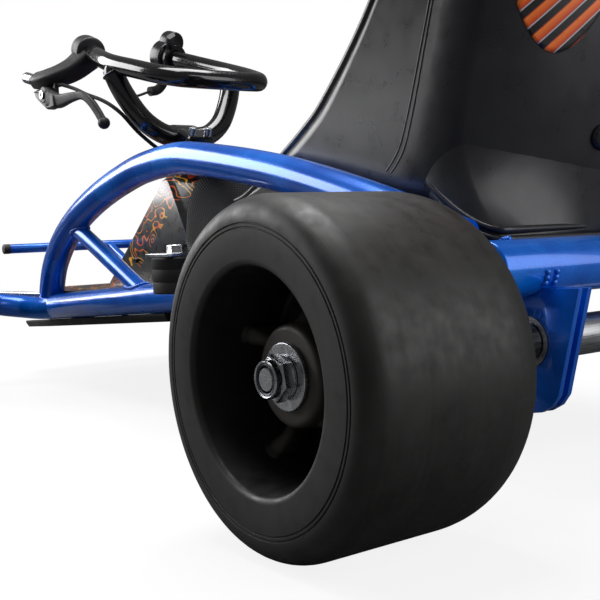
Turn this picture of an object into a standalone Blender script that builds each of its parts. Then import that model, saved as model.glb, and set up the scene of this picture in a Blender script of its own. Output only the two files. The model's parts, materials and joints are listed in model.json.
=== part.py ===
"""Electric drift kart: tube frame, hard plastic slider wheels behind, pneumatic wheels in front.

Metres. +X is forward, +Y is the driver's left, +Z is up, and the floor is Z = 0.
Lengths called "ahead" are measured forward from the rear axle.
"""
import math

import bmesh
import bpy
from mathutils import Matrix, Vector

for old in list(bpy.data.objects):
    bpy.data.objects.remove(old)

# Overall layout
WHEELBASE = 0.800
REAR_WHEEL_R = 0.100
FRONT_TYRE_R = 0.127
REAR_TRACK_OUT = 0.340          # centre plane to the outer face of a rear wheel
FRONT_TRACK_OUT = 0.326
STRETCH = (0.440, 0.600)        # a longer or shorter wheelbase is taken up here, ahead of the seat
GAP = 0.0003                    # clearance between pieces that touch
REAR_AXLE_X = -(WHEELBASE + FRONT_TYRE_R - REAR_WHEEL_R) / 2

# Frame tubes
CROSS_TUBE_R = 0.019
CROSS_TUBE_Z = 0.149
RAIL_R = 0.0155
RAIL_DROP = 0.0690              # fall of the lower rails for each metre forward
RAIL_REAR_Y = 0.150
RAIL_FRONT_Y = 0.137
RAIL_TAPER_FROM = 0.400
RAIL_END = 0.775
ARCH_R = 0.0155
STRUT_R = 0.0092
ARM_R = 0.014
HOOP_R = 0.010
FLOOR_TUBE_R = 0.0085
FLOOR_TUBE_AHEAD = 0.560
STAY_R = 0.006
FLOOR_Z = 0.1130                # underside of the floor panel
FLOOR_THICK = 0.003
FOOT_BAR_R = 0.0063
FOOT_BAR_AHEAD = 0.880
FOOT_BAR_Z = 0.171
FOOT_BAR_HALF = 0.155
FOOT_STEM_R = 0.0057

# Rear axle
AXLE_R = 0.0075
SLEEVE_R = 0.0143
AXLE_Z = REAR_WHEEL_R
PLATE_THICK = 0.004
PLATE_GAP = 0.005
PLATE_OUT_Y = 0.1215            # outer face of the outer axle plate
BEARING_R = 0.0175
REAR_WHEEL_W = 0.125
WHEEL_DISH_R = 0.062
WHEEL_HUB_R = 0.029
WHEEL_HUB_IN = 0.025            # hub face behind the wheel's outer face
WHEEL_WEBS = 5
WHEEL_FLOOR = 0.066             # floor of the dish above the inner face
WHEEL_HUB_BACK = 0.016
WHEEL_OUTER_SHOULDER = (0.014, 0.017)
WHEEL_INNER_SHOULDER = (0.017, 0.030)
WEB_HALF = 0.0042
WEB_FLARE = 0.005
WEB_DIP = 0.012
CARRIER_R = 0.013
PLATE_TOP_HALF = 0.043
PLATE_FOOT_HALF = 0.0265
PLATE_FOOT_Z = -0.0265
PLATE_RISE = 0.006
CALIPER_AHEAD = 0.052
CALIPER_ARM = 0.034
PAD_GAP = 0.0006
WASHER_R = 0.019
WASHER_THICK = 0.0025
NUT_LENGTH = 0.0135
NUT_FLAT = 0.0115               # centre to a flat of the nut
BAY_IN = RAIL_REAR_Y + RAIL_R    # the room between a rail and a slider wheel starts here
BAY = REAR_TRACK_OUT - REAR_WHEEL_W - BAY_IN
SPROCKET_Y = -(BAY_IN + BAY / 3)
SPROCKET_TEETH = 48
PINION_TEETH = 12
CHAIN_PITCH = 0.00635
SPROCKET_THICK = 0.0035
CHAIN_WIDTH = 0.007
CHAIN_TALL = 0.0055
DISC_Y = BAY_IN + BAY * 0.495
CALIPER_OUT = BAY * 0.222        # the caliper's outer wall from the disc's middle plane
DISC_R = 0.060
DISC_THICK = 0.003

# Motor and power
MOTOR_AHEAD = 0.215
MOTOR_Z = 0.097
MOTOR_R = 0.041
MOTOR_IN_Y = -0.030
MOTOR_OUT_Y = -0.126
MOTOR_SHAFT_R = 0.005
BATTERY_SIZE = (0.151, 0.094, 0.065)
BATTERY_AHEAD = MOTOR_AHEAD + MOTOR_R + 0.018
TRAY_THICK = 0.002
CONTROLLER_SIZE = (0.110, 0.070, 0.036)

# Steering
COLUMN_LEAN = math.radians(23.0)
COLUMN_FOOT_AHEAD = 0.7175
COLUMN_FOOT_Z = 0.0800
COLUMN_R = 0.0127
COLUMN_LENGTH = 0.218
CLAMP_TOP = 0.2485
HEAD_FROM = 0.140               # head tube's lower end, along the column
HEAD_LENGTH = 0.050
HEAD_R = 0.0175
PITMAN_LENGTH = 0.046
PITMAN_HALF = 0.012
PITMAN_THICK = 0.005
PITMAN_ALONG = 0.005            # underside of the pitman arm, along the column
BEARING_ALONG = 0.012           # lower bearing, along the column
BEARING_LENGTH = 0.012
RUNNING = 0.0004                # radial clearance of the column in its bearings
BAR_R = 0.011
LEG_R = 0.0125
LOOP_HALF = [(0.800, 0.0565, 0.4295), (0.760, 0.063, 0.4170), (0.715, 0.075, 0.4025),
             (0.672, 0.081, 0.3895), (0.625, 0.076, 0.3765), (0.590, 0.069, 0.3665),
             (0.566, 0.058, 0.3600), (0.554, 0.038, 0.3570)]
LEG_HALF = [(0.668, 0.084, 0.380), (0.660, 0.074, 0.352), (0.651, 0.056, 0.322), (0.645, 0.034, 0.305),
            (0.643, 0.014, 0.3005)]
LEVER_IN = 0.017                # lever clamp behind the handlebar's left end
LEVER_EYE = 0.006
LEVER_PIVOT = (0.8036, 0.112, 0.3680)
LEVER_BODY = [(0.787, 0.064, 0.4120), (0.794, 0.082, 0.4030), (0.804, 0.098, 0.3950),
              (0.820, 0.109, 0.3910), (0.838, 0.112, 0.3915)]
ADJUSTER_TIP = (0.872, 0.112, 0.4005)
LEVER_BLADE = [(0.7656, 0.108, 0.3590), (0.736, 0.102, 0.3600), (0.7147, 0.096, 0.3497),
               (0.7015, 0.091, 0.3350), (0.690, 0.088, 0.3203)]
THROTTLE_IN = 0.013

# Front wheels
KINGPIN_Y = FRONT_TRACK_OUT - 0.094
KINGPIN_R = 0.005
FRONT_AXLE_Z = FRONT_TYRE_R
FRONT_TYRE_W = 0.060
FRONT_RIM_R = 0.078
FRONT_HUB_R = 0.020
SPINDLE_R = 0.006
YOKE_LOW = 0.0925
YOKE_HIGH = 0.1540
YOKE_THICK = 0.0055
KNUCKLE_ARM = 0.060
KNUCKLE_ARM_Z = 0.107
KNUCKLE_ARM_THICK = 0.005
FRONT_HUB_HALF = 0.024
STUD_R = 0.003
ROD_R = 0.004
ROD_EYE_TALL = 0.008
ROD_EYE_SLACK = 0.0028          # play that lets the opened linkage turn
ROD_EYE_LIFT = 0.0023           # room below the rod's outer eye, which sinks as the column turns

# Seat
SEAT_WALL = 0.005
SEAT_CORNER = (0.045, 0.011)    # sideways, under the driver and behind the back
SEAT_CORNER_UP = 0.088          # the corner's end, up the wing
SEAT_BOW = 0.050                # how far the back's middle lies behind its corners
SEAT_STUD_R = 0.004
SEAT_STUDS = [(0.085, 0.075), (0.085, -0.075), (0.315, 0.075), (0.315, -0.075)]
# Each row gives the base line (ahead, z), the wing's edge (ahead, z), the half width and the flare
SEAT_ROWS = [
    (0.400, 0.198, 0.404, 0.206, 0.120, 0.001), (0.360, 0.187, 0.380, 0.205, 0.126, 0.001),
    (0.300, 0.181, 0.350, 0.207, 0.128, 0.001), (0.200, 0.178, 0.320, 0.212, 0.128, 0.001),
    (0.100, 0.177, 0.290, 0.226, 0.128, 0.001), (0.050, 0.182, 0.253, 0.246, 0.128, 0.001),
    (0.022, 0.200, 0.222, 0.263, 0.128, 0.002), (0.006, 0.234, 0.195, 0.281, 0.128, 0.003),
    (-0.016, 0.310, 0.141, 0.330, 0.128, 0.006), (-0.039, 0.390, 0.085, 0.400, 0.128, 0.006),
    (-0.062, 0.470, 0.020, 0.478, 0.124, 0.004), (-0.080, 0.532, -0.040, 0.546, 0.110, 0.002),
    (-0.084, 0.560, -0.072, 0.566, 0.090, 0.001)]

# Belt
BELT_WIDTH = 0.048
BELT_THICK = 0.0016
BELT_ANCHOR = (0.381, 0.170, 0.126)
BELT_SPACER_R = 0.022
BELT_SPACER_TALL = 0.034
BUCKLE = (0.317, 0.0, 0.1972)
BELT_ROUTE = [(-0.0120, 0.1530, 0.1648), (-0.0100, 0.1480, 0.1650), (-0.0095, 0.1445, 0.1690),
              (-0.0125, 0.1445, 0.1830), (-0.0190, 0.1455, 0.1990), (-0.0270, 0.1425, 0.2130),
              (-0.0390, 0.1325, 0.2205), (-0.0500, 0.1145, 0.2195), (-0.0570, 0.0900, 0.2105),
              (-0.0620, 0.0650, 0.2015), (-0.0640, 0.0480, 0.1978), (-0.0640, 0.0360, 0.1972),
              (-0.0640, 0.0195, 0.1972)]
BELT_TURN = math.radians(20.0)  # the webbing leaves its tab at this angle

# Cables
CABLE_R = 0.0022
LEAD_R = 0.0018
CABLE_FLOOR_Z = 0.1197
BRAKE_CABLE_TOP = [(0.7905, 0.1015, 0.380), (0.784, 0.0985, 0.3790), (0.766, 0.0900, 0.3720),
                   (0.742, 0.0850, 0.3620), (0.712, 0.0810, 0.3520), (0.689, 0.0780, 0.3420),
                   (0.6730, 0.0710, 0.3290), (0.6660, 0.0560, 0.3090), (0.6600, 0.0400, 0.2930),
                   (0.6560, 0.0275, 0.2820)]
BRAKE_CABLE_FLOOR = [(0.660, 0.0210, 0.163), (0.635, 0.0160, 0.140), (0.606, 0.0100, 0.1260),
                     (0.575, 0.0080, CABLE_FLOOR_Z), (0.545, 0.0080, CABLE_FLOOR_Z), (0.520, 0.0130, 0.122),
                     (0.485, 0.0480, 0.130), (0.456, 0.0980, 0.1325), (0.438, 0.1225, 0.1305)]
BRAKE_CABLE_END = [(0.180, 0.1270, 0.134), (0.155, 0.1320, 0.112), (0.130, 0.1500, 0.092),
                   (0.105, 0.1690, 0.087), (0.0734, 0.1800, 0.090)]
LEAD_TOP = [(0.800, -0.0150, 0.372), (0.783, 0.0080, 0.367), (0.755, 0.0350, 0.363),
            (0.722, 0.0560, 0.361), (0.695, 0.0675, 0.360), (0.6765, 0.0670, 0.3535),
            (0.6680, 0.0500, 0.3270), (0.6640, 0.0280, 0.3170)]
LEAD_FLOOR = [(0.690, -0.0080, 0.196), (0.684, -0.0185, 0.166), (0.655, -0.0190, 0.142),
              (0.615, -0.0130, 0.127), (0.578, -0.0080, CABLE_FLOOR_Z), (0.545, -0.0080, CABLE_FLOOR_Z),
              (0.515, 0.0000, 0.120), (0.480, 0.0420, 0.120), (0.454, 0.0950, 0.1180),
              (0.432, 0.1210, 0.1175)]
LEAD_END = [(0.243, 0.1240, 0.122), (0.228, 0.1130, 0.098), (0.222, 0.1000, 0.082), (0.222, 0.0914, 0.078)]

# Floor cover and pans
COVER_HALF = 0.038
COVER_WALL = 0.003
COVER_TOP = 0.253
COVER_REAR = 0.545
COVER_FRONT = 0.818
PAN_THICK = 0.0025
PAN_DROP = 0.0088


def at(ahead, y, z):
    """A point by its distance ahead of the rear axle, as it is where the wheelbase is 0.800."""
    share = min(1.0, max(0.0, (ahead - STRETCH[0]) / (STRETCH[1] - STRETCH[0])))
    return Vector((REAR_AXLE_X + ahead + (WHEELBASE - 0.800) * share, y, z))


def at_front(ahead, y, z):
    """A point by its distance ahead of the front axle."""
    return Vector((REAR_AXLE_X + WHEELBASE + ahead, y, z))


def rail_z(ahead):
    return CROSS_TUBE_Z - RAIL_DROP * ahead


def rail_y(ahead):
    t = min(1.0, max(0.0, (ahead - RAIL_TAPER_FROM) / (RAIL_END - RAIL_TAPER_FROM)))
    return RAIL_REAR_Y - (RAIL_REAR_Y - RAIL_FRONT_Y) * t


# Finishes
def finish(name, colour, roughness, metallic=0.0):
    made = bpy.data.materials.get(name) or bpy.data.materials.new(name)
    made.use_nodes = True
    shader = made.node_tree.nodes["Principled BSDF"]
    shader.inputs["Base Color"].default_value = (*colour, 1.0)
    shader.inputs["Roughness"].default_value = roughness
    shader.inputs["Metallic"].default_value = metallic
    return made


BLUE_PAINT = ("blue_paint", (0.003, 0.075, 0.47), 0.22, 0.35)
BLACK_PAINT = ("black_paint", (0.012, 0.012, 0.013), 0.15, 0.0)
ZINC = ("zinc", (0.62, 0.62, 0.60), 0.28, 1.0)
STEEL = ("steel", (0.42, 0.42, 0.43), 0.35, 1.0)
CHARCOAL_PLASTIC = ("charcoal_plastic", (0.028, 0.027, 0.026), 0.55, 0.0)
SEAT_PLASTIC = ("seat_plastic", (0.035, 0.034, 0.040), 0.45, 0.0)
BLACK_PLASTIC = ("black_plastic", (0.015, 0.015, 0.016), 0.4, 0.0)
RUBBER = ("rubber", (0.02, 0.02, 0.02), 0.75, 0.0)
WEBBING = ("webbing", (0.012, 0.012, 0.014), 0.9, 0.0)
CAST_METAL = ("cast_metal", (0.30, 0.30, 0.31), 0.45, 1.0)
RED_PLASTIC = ("red_plastic", (0.50, 0.02, 0.02), 0.4, 0.0)


# Mesh helpers
def from_bmesh(shape, name, look, origin=None, smooth=35.0):
    """Make a node from a bmesh; its origin goes to the joint axis where one is given."""
    bmesh.ops.recalc_face_normals(shape, faces=shape.faces)
    mesh = bpy.data.meshes.new(name)
    shape.to_mesh(mesh)
    shape.free()
    mesh.materials.append(finish(*look))
    made = bpy.data.objects.new(name, mesh)
    bpy.context.collection.objects.link(made)
    mesh.shade_smooth()
    mesh.set_sharp_from_angle(angle=math.radians(smooth))
    if origin is not None:
        mesh.transform(Matrix.Translation(-origin))
        made.location = origin
    bpy.context.view_layer.update()
    return made


def basis(axis):
    """Two unit vectors across an axis."""
    axis = axis.normalized()
    side = Vector((0, 0, 1)) if abs(axis.z) < 0.9 else Vector((1, 0, 0))
    first = (side - axis * side.dot(axis)).normalized()
    return axis, first, axis.cross(first)


def add_lathe(shape, profile, centre, axis, sides=32, start=0.0):
    """Turn a closed profile of (radius, distance along the axis) points about an axis."""
    axis, first, second = basis(axis)
    rings = []
    for radius, along in profile:
        middle = centre + axis * along
        if radius < 1e-7:
            rings.append([shape.verts.new(middle)] * sides)
            continue
        turns = [start + 2 * math.pi * k / sides for k in range(sides)]
        rings.append([shape.verts.new(middle + (first * math.cos(a) + second * math.sin(a)) * radius)
                      for a in turns])
    for ring, after in zip(rings, rings[1:] + rings[:1]):
        if ring[0] is ring[1] and after[0] is after[1]:
            continue
        for k in range(sides):
            corners = [ring[k], ring[(k + 1) % sides], after[(k + 1) % sides], after[k]]
            corners = list(dict.fromkeys(corners))
            if len(corners) > 2:
                shape.faces.new(corners)


def cylinder_profile(radius, low, high, edge=0.0):
    if edge:
        return [(0, low), (radius - edge, low), (radius, low + edge),
                (radius, high - edge), (radius - edge, high), (0, high)]
    return [(0, low), (radius, low), (radius, high), (0, high)]


def tube_profile(inner, outer, low, high, edge=0.0):
    if edge:
        return [(inner, low), (outer - edge, low), (outer, low + edge),
                (outer, high - edge), (outer - edge, high), (inner, high)]
    return [(inner, low), (outer, low), (outer, high), (inner, high)]


def turned(name, profile, centre, axis, look, sides=32, origin=None, start=0.0):
    shape = bmesh.new()
    add_lathe(shape, profile, centre, axis, sides, start)
    return from_bmesh(shape, name, look, origin)


def smooth_path(points, step=0.018):
    """Points along a smooth curve through the given ones."""
    points = [Vector(p) for p in points]
    ends = [points[0] * 2 - points[1]] + points + [points[-1] * 2 - points[-2]]
    path = []
    for before, here, there, after in zip(ends, ends[1:], ends[2:], ends[3:]):
        count = max(1, round((there - here).length / step))
        for k in range(count):
            t = k / count
            path.append(0.5 * (2 * here + (there - before) * t
                               + (2 * before - 5 * here + 4 * there - after) * t * t
                               + (3 * here - before - 3 * there + after) * t ** 3))
    path.append(points[-1])
    return path


def circle(radius, sides):
    return [(radius * math.cos(2 * math.pi * k / sides), radius * math.sin(2 * math.pi * k / sides))
            for k in range(sides)]


def rectangle(width, height, corner=0.0, steps=2):
    """Outline of a rectangle, with round corners where corner is given."""
    if not corner:
        return [(-width / 2, -height / 2), (width / 2, -height / 2),
                (width / 2, height / 2), (-width / 2, height / 2)]
    outline = []
    for quarter, (sx, sy) in enumerate([(1, 1), (-1, 1), (-1, -1), (1, -1)]):
        for k in range(steps + 1):
            a = math.pi / 2 * (quarter + k / steps)
            outline.append((sx * (width / 2 - corner) + corner * math.cos(a),
                            sy * (height / 2 - corner) + corner * math.sin(a)))
    return outline


def add_sweep(shape, path, outline, side=None):
    """Sweep an outline along a path. The outline's first direction follows side where it is given."""
    tangents = []
    for k in range(len(path)):
        tangents.append((path[min(k + 1, len(path) - 1)] - path[max(k - 1, 0)]).normalized())
    across = side or basis(tangents[0])[1]
    rings = []
    for point, tangent in zip(path, tangents):
        across = side or across
        across = (across - tangent * across.dot(tangent)).normalized()
        other = tangent.cross(across)
        rings.append([shape.verts.new(point + across * u + other * v) for u, v in outline])
    for ring, after in zip(rings, rings[1:]):
        for k in range(len(ring)):
            n = (k + 1) % len(ring)
            shape.faces.new([ring[k], ring[n], after[n], after[k]])
    shape.faces.new(rings[0])
    shape.faces.new(rings[-1])


def swept(name, path, outline, look, side=None, origin=None):
    shape = bmesh.new()
    add_sweep(shape, path, outline, side)
    return from_bmesh(shape, name, look, origin)


def add_block(shape, low, high, bevel=0.0):
    """A box between two corners, with its edges bevelled."""
    size = Vector(high) - Vector(low)
    middle = (Vector(high) + Vector(low)) / 2
    place = Matrix.Translation(middle) @ Matrix.Diagonal((*size, 1.0))
    made = bmesh.ops.create_cube(shape, size=1.0, matrix=place)
    if bevel:
        edges = list({edge for vert in made["verts"] for edge in vert.link_edges})
        bmesh.ops.bevel(shape, geom=edges, offset=bevel, segments=2, affect="EDGES", profile=0.5)


def block(name, low, high, look, bevel=0.0, origin=None):
    shape = bmesh.new()
    add_block(shape, low, high, bevel)
    return from_bmesh(shape, name, look, origin)


def add_extrusion(shape, outline, centre, normal, thickness, first):
    """Extrude an outline. Its first direction is given; the thickness grows along the normal."""
    normal = normal.normalized()
    first = (first - normal * first.dot(normal)).normalized()
    second = normal.cross(first)
    low = [shape.verts.new(centre + first * u + second * v) for u, v in outline]
    high = [shape.verts.new(vert.co + normal * thickness) for vert in low]
    shape.faces.new(low)
    shape.faces.new(high)
    for k in range(len(low)):
        n = (k + 1) % len(low)
        shape.faces.new([low[k], low[n], high[n], high[k]])


def carve(made, cutters, operation="DIFFERENCE"):
    """Cut shapes from a node, or join them to it, and drop the tools."""
    for cutter in cutters:
        cut = made.modifiers.new("cut", "BOOLEAN")
        cut.operation = operation
        cut.solver = "EXACT"
        cut.object = cutter
    bpy.context.view_layer.update()
    result = bpy.data.meshes.new_from_object(made.evaluated_get(bpy.context.evaluated_depsgraph_get()))
    made.modifiers.clear()
    made.data = result
    result.shade_smooth()
    result.set_sharp_from_angle(angle=math.radians(35))
    for cutter in cutters:
        bpy.data.objects.remove(cutter)
    return made


def rod_tool(start, end, radius, sides=28):
    """A plain round tool for carve."""
    start, end = Vector(start), Vector(end)
    return turned("tool", cylinder_profile(radius, 0, (end - start).length), start, end - start, STEEL, sides)


def add_hex(shape, centre, axis, flat, length, low=0.0):
    """A hexagon nut or bolt head that grows along the axis."""
    corner = flat / math.cos(math.pi / 6)
    edge = length * 0.12
    add_lathe(shape, [(0, low), (corner, low), (corner, low + length - edge),
                      (corner * 0.9, low + length), (0, low + length)], centre, axis, 6)


def mirrored(point):
    return Vector((point[0], -point[1], point[2]))


SIDES = (("left", 1), ("right", -1))


def flip(points, sign):
    return [Vector((p[0], p[1] * sign, p[2])) for p in points]


# Frame
ARCH_POINTS = [(0.028, 0.150, 0.168), (0.110, 0.150, 0.195), (0.200, 0.150, 0.2195),
               (0.275, 0.150, 0.2352), (0.354, 0.150, 0.2480), (0.405, 0.150, 0.2530), (0.470, 0.150, 0.2495),
               (0.521, 0.149, 0.2412), (0.572, 0.148, 0.2296), (0.622, 0.146, 0.2152),
               (0.660, 0.144, 0.2013), (0.694, 0.142, 0.1855), (0.721, 0.140, 0.1690),
               (0.745, 0.1385, 0.1480), (0.761, 0.137, 0.1240), (0.768, 0.137, 0.1000)]
STRUT_TOP = (0.669, 0.1435, 0.1965)
STRUT_FOOT_AHEAD = 0.478


def rail_path(grow=0.0):
    """Middle line of the left lower rail, made longer at both ends where grow is given."""
    stations = (0.0, RAIL_TAPER_FROM - 0.05, RAIL_TAPER_FROM + 0.05, 0.6, RAIL_END)
    path = [at(x, rail_y(x), rail_z(x)) for x in stations]
    if grow:
        path.insert(0, path[0] + (path[0] - path[1]).normalized() * grow)
        path.append(path[-1] + (path[-1] - path[-2]).normalized() * grow)
    return path


def arch_path():
    return smooth_path([at(*p) for p in ARCH_POINTS], 0.044)


def arm_path():
    reach = KINGPIN_Y - 0.016 - RAIL_FRONT_Y
    return smooth_path([at(RAIL_END - 0.035, RAIL_FRONT_Y - 0.001, rail_z(RAIL_END) + 0.002),
                        at(RAIL_END - 0.009, RAIL_FRONT_Y + reach * 0.152, 0.0955),
                        at_front(-0.011, RAIL_FRONT_Y + reach * 0.392, 0.0980),
                        at_front(-0.002, RAIL_FRONT_Y + reach * 0.734, 0.1030),
                        at_front(-0.001, RAIL_FRONT_Y + reach, 0.1100)], 0.02)


def cross_tool():
    """The rear cross tube with its clearance, for cutting what meets it."""
    return rod_tool(at(0, -0.3, CROSS_TUBE_Z), at(0, 0.3, CROSS_TUBE_Z), CROSS_TUBE_R + GAP)


def rail_tool(sign, grow=0.05):
    return swept("tool", flip(rail_path(grow), sign), circle(RAIL_R + GAP, 16), BLUE_PAINT)


def arch_tool(sign):
    return swept("tool", flip(arch_path(), sign), circle(ARCH_R + GAP, 14), BLUE_PAINT)


def frame_tubes():
    half = RAIL_REAR_Y + RAIL_R * 0.6
    turned("rear_cross_tube", cylinder_profile(CROSS_TUBE_R, -half, half, 0.001),
           at(0, 0, CROSS_TUBE_Z), Vector((0, 1, 0)), BLUE_PAINT, 24)
    for side, sign in SIDES:
        rail = swept("lower_rail_" + side, flip(rail_path(), sign), circle(RAIL_R, 16), BLUE_PAINT)
        arm = swept("tool", flip(arm_path(), sign), circle(ARM_R, 12), BLUE_PAINT)
        carve(rail, [arm] + kingpin_yoke(sign), "UNION")
        carve(rail, [cross_tool()])

        arch = swept("side_arch_" + side, flip(arch_path(), sign), circle(ARCH_R, 14), BLUE_PAINT)
        foot = at(STRUT_FOOT_AHEAD, rail_y(STRUT_FOOT_AHEAD), rail_z(STRUT_FOOT_AHEAD))
        strut = swept("tool", flip([foot, at(*STRUT_TOP)], sign), circle(STRUT_R, 10), BLUE_PAINT)
        carve(arch, [strut], "UNION")
        carve(arch, [rail_tool(sign), cross_tool(),
                     swept("tool", flip(arm_path(), sign), circle(ARM_R + GAP, 12), BLUE_PAINT)])
    front_hoop()


def kingpin_yoke(sign):
    """The fork at the end of a front arm and the pin through it, as pieces to join."""
    inner = sign * (KINGPIN_Y - 0.017)
    low_y, high_y = sorted((inner, sign * (KINGPIN_Y + 0.010)))
    parts = [block("tool", at_front(-0.012, low_y, z), at_front(0.012, high_y, z + YOKE_THICK), BLUE_PAINT)
             for z in (YOKE_LOW, YOKE_HIGH)]
    back_low, back_high = sorted((inner, inner + sign * 0.005))
    parts.append(block("tool", at_front(-0.012, back_low, YOKE_LOW + 0.002),
                       at_front(0.012, back_high, YOKE_HIGH + 0.0035), BLUE_PAINT))
    foot, shoulder, top = YOKE_LOW - 0.002, YOKE_HIGH + 0.005, YOKE_HIGH + 0.010
    parts.append(turned("tool", [(0, foot), (KINGPIN_R, foot), (KINGPIN_R, shoulder), (0.0085, shoulder),
                                 (0.0085, top), (0, top)],
                        at_front(0, sign * KINGPIN_Y, 0), Vector((0, 0, 1)), ZINC, 16))
    return parts


HOOP_REACH = FOOT_BAR_AHEAD + 0.004
HOOP_TOP = FLOOR_Z - GAP - HOOP_R
HOOP_HALF = [(0.700, 0.118, 0.096), (0.735, 0.102, 0.089), (0.800, 0.092, 0.086), (0.835, 0.092, 0.088),
             (HOOP_REACH - 0.012, 0.086, HOOP_TOP - 0.002), (HOOP_REACH, 0.070, HOOP_TOP),
             (HOOP_REACH, 0.030, HOOP_TOP)]


def stem_line():
    """Middle line of the tube that carries the foot bar, from the column's lower bearing."""
    return (column_point(BEARING_ALONG + BEARING_LENGTH / 2) + column_forward() * 0.012,
            at(FOOT_BAR_AHEAD, 0, FOOT_BAR_Z))


def front_hoop():
    """The hoop before the rails, the bar that holds the column's foot, and the foot bar on its stem."""
    half = [at(*p) for p in HOOP_HALF]
    path = smooth_path(half + [mirrored(p) for p in reversed(half)], 0.05)
    hoop = swept("front_hoop", path, circle(HOOP_R, 10), BLUE_PAINT)
    bar = turned("tool", cylinder_profile(FOOT_BAR_R, -FOOT_BAR_HALF, FOOT_BAR_HALF, 0.001),
                 at(FOOT_BAR_AHEAD, 0, FOOT_BAR_Z), Vector((0, 1, 0)), BLUE_PAINT, 14)
    stem = rod_tool(*stem_line(), FOOT_STEM_R, 12)
    foot = column_point(BEARING_ALONG)
    middle = foot + column_axis() * BEARING_LENGTH / 2
    across_z = middle.z - 0.0008
    across = rod_tool(Vector((middle.x, -0.109, across_z)), Vector((middle.x, 0.109, across_z)), 0.0065, 10)
    ring = turned("tool", cylinder_profile(COLUMN_R + 0.008, 0, BEARING_LENGTH, 0.0008), foot, column_axis(),
                  BLUE_PAINT, 20)
    carve(hoop, [bar, stem, across, ring], "UNION")
    carve(hoop, [rail_tool(1), rail_tool(-1),
                 rod_tool(column_point(-0.05), column_point(0.1), COLUMN_R + RUNNING, 24)])


def stay_line(sign):
    """The middle line of the left or right stay, from the floor tube up to the head tube."""
    return (at(FLOOR_TUBE_AHEAD + 0.004, 0.026 * sign, FLOOR_Z - GAP - FLOOR_TUBE_R),
            column_point(HEAD_FROM + HEAD_LENGTH * 0.5) + Vector((0, 0.008 * sign, 0)))


def steering_support():
    """The tube across the rails, the two stays that rise from it, and the head tube they hold."""
    z = FLOOR_Z - GAP - FLOOR_TUBE_R
    span = rail_y(FLOOR_TUBE_AHEAD)
    support = turned("steering_support", cylinder_profile(FLOOR_TUBE_R, -span, span),
                     at(FLOOR_TUBE_AHEAD, 0, z), Vector((0, 1, 0)), BLUE_PAINT, 18)
    stays = [rod_tool(*stay_line(sign), STAY_R, 10) for _, sign in SIDES]
    head = turned("tool", cylinder_profile(HEAD_R, 0, HEAD_LENGTH, 0.0008), column_point(HEAD_FROM),
                  column_axis(), BLUE_PAINT, 20)
    carve(support, stays + [head], "UNION")
    bore = rod_tool(column_point(-0.05), column_point(COLUMN_LENGTH + 0.05), COLUMN_R + RUNNING, 24)
    carve(support, [rail_tool(1), rail_tool(-1), bore])


def plate_outline():
    """Side view of an axle plate about the axle: wide under the cross tube, round at the bottom."""
    top = CROSS_TUBE_Z - AXLE_Z - CROSS_TUBE_R + PLATE_RISE
    points = [(-PLATE_TOP_HALF, top)]
    for k in range(7):
        a = math.radians(200 + 140 * k / 6)
        points.append((PLATE_FOOT_HALF * math.cos(a), PLATE_FOOT_Z + PLATE_FOOT_HALF * 0.8 * math.sin(a)))
    return points + [(PLATE_TOP_HALF, top)]


def axle_plates():
    """Each side has a folded plate: two flat walls that hold the bearing, joined along the front."""
    across = Vector((0, 1, 0))
    for side, sign in SIDES:
        walls = []
        for layer in range(2):
            y = sign * (PLATE_OUT_Y - layer * (PLATE_THICK + PLATE_GAP))
            shape = bmesh.new()
            add_extrusion(shape, plate_outline(), at(0, y, AXLE_Z), across * -sign, PLATE_THICK,
                          Vector((1, 0, 0)))
            if sign < 0:
                bmesh.ops.scale(shape, vec=(1, 1, -1), space=Matrix.Translation(-at(0, 0, AXLE_Z)),
                                verts=shape.verts)
            walls.append(from_bmesh(shape, "axle_plate_" + side if layer == 0 else "tool", BLUE_PAINT))
        inside = PLATE_OUT_Y - 2 * PLATE_THICK - PLATE_GAP
        near, far = sorted((sign * (PLATE_OUT_Y - 0.001), sign * (inside + 0.001)))
        fold = block("tool", at(0.034, near, AXLE_Z + 0.004), at(0.037, far, AXLE_Z + 0.028), BLUE_PAINT)
        carve(walls[0], [walls[1], fold], "UNION")
        hole = rod_tool(at(0, sign * 0.10, AXLE_Z), at(0, sign * 0.13, AXLE_Z), BEARING_R + GAP, 28)
        carve(walls[0], [cross_tool(), hole])


# Rear axle
def rear_wheel_profile():
    """Half section of a slider wheel: distance outward from its inner face."""
    w = REAR_WHEEL_W
    low, high = WHEEL_INNER_SHOULDER, WHEEL_OUTER_SHOULDER
    rim = REAR_WHEEL_R
    profile = [(AXLE_R + GAP, WHEEL_HUB_BACK), (0.024, WHEEL_HUB_BACK), (0.026, 0.050), (0.058, 0.050),
               (0.064, 0.004), (0.070, 0.0)]
    for k in range(4):
        a = math.radians(90 * k / 3)
        profile.append((rim - low[0] + low[0] * math.sin(a), low[1] - low[1] * math.cos(a)))
    for k in range(4):
        a = math.radians(90 * k / 3)
        profile.append((rim - high[0] + high[0] * math.cos(a), w - high[1] + high[1] * math.sin(a)))
    face = w - WHEEL_HUB_IN
    profile += [(WHEEL_DISH_R + 0.003, w), (WHEEL_DISH_R, w - 0.003), (WHEEL_DISH_R - 0.003, WHEEL_FLOOR),
                (WHEEL_HUB_R + 0.002, WHEEL_FLOOR), (WHEEL_HUB_R, face - 0.003),
                (WHEEL_HUB_R - 0.003, face), (AXLE_R + GAP, face)]
    return profile


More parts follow.
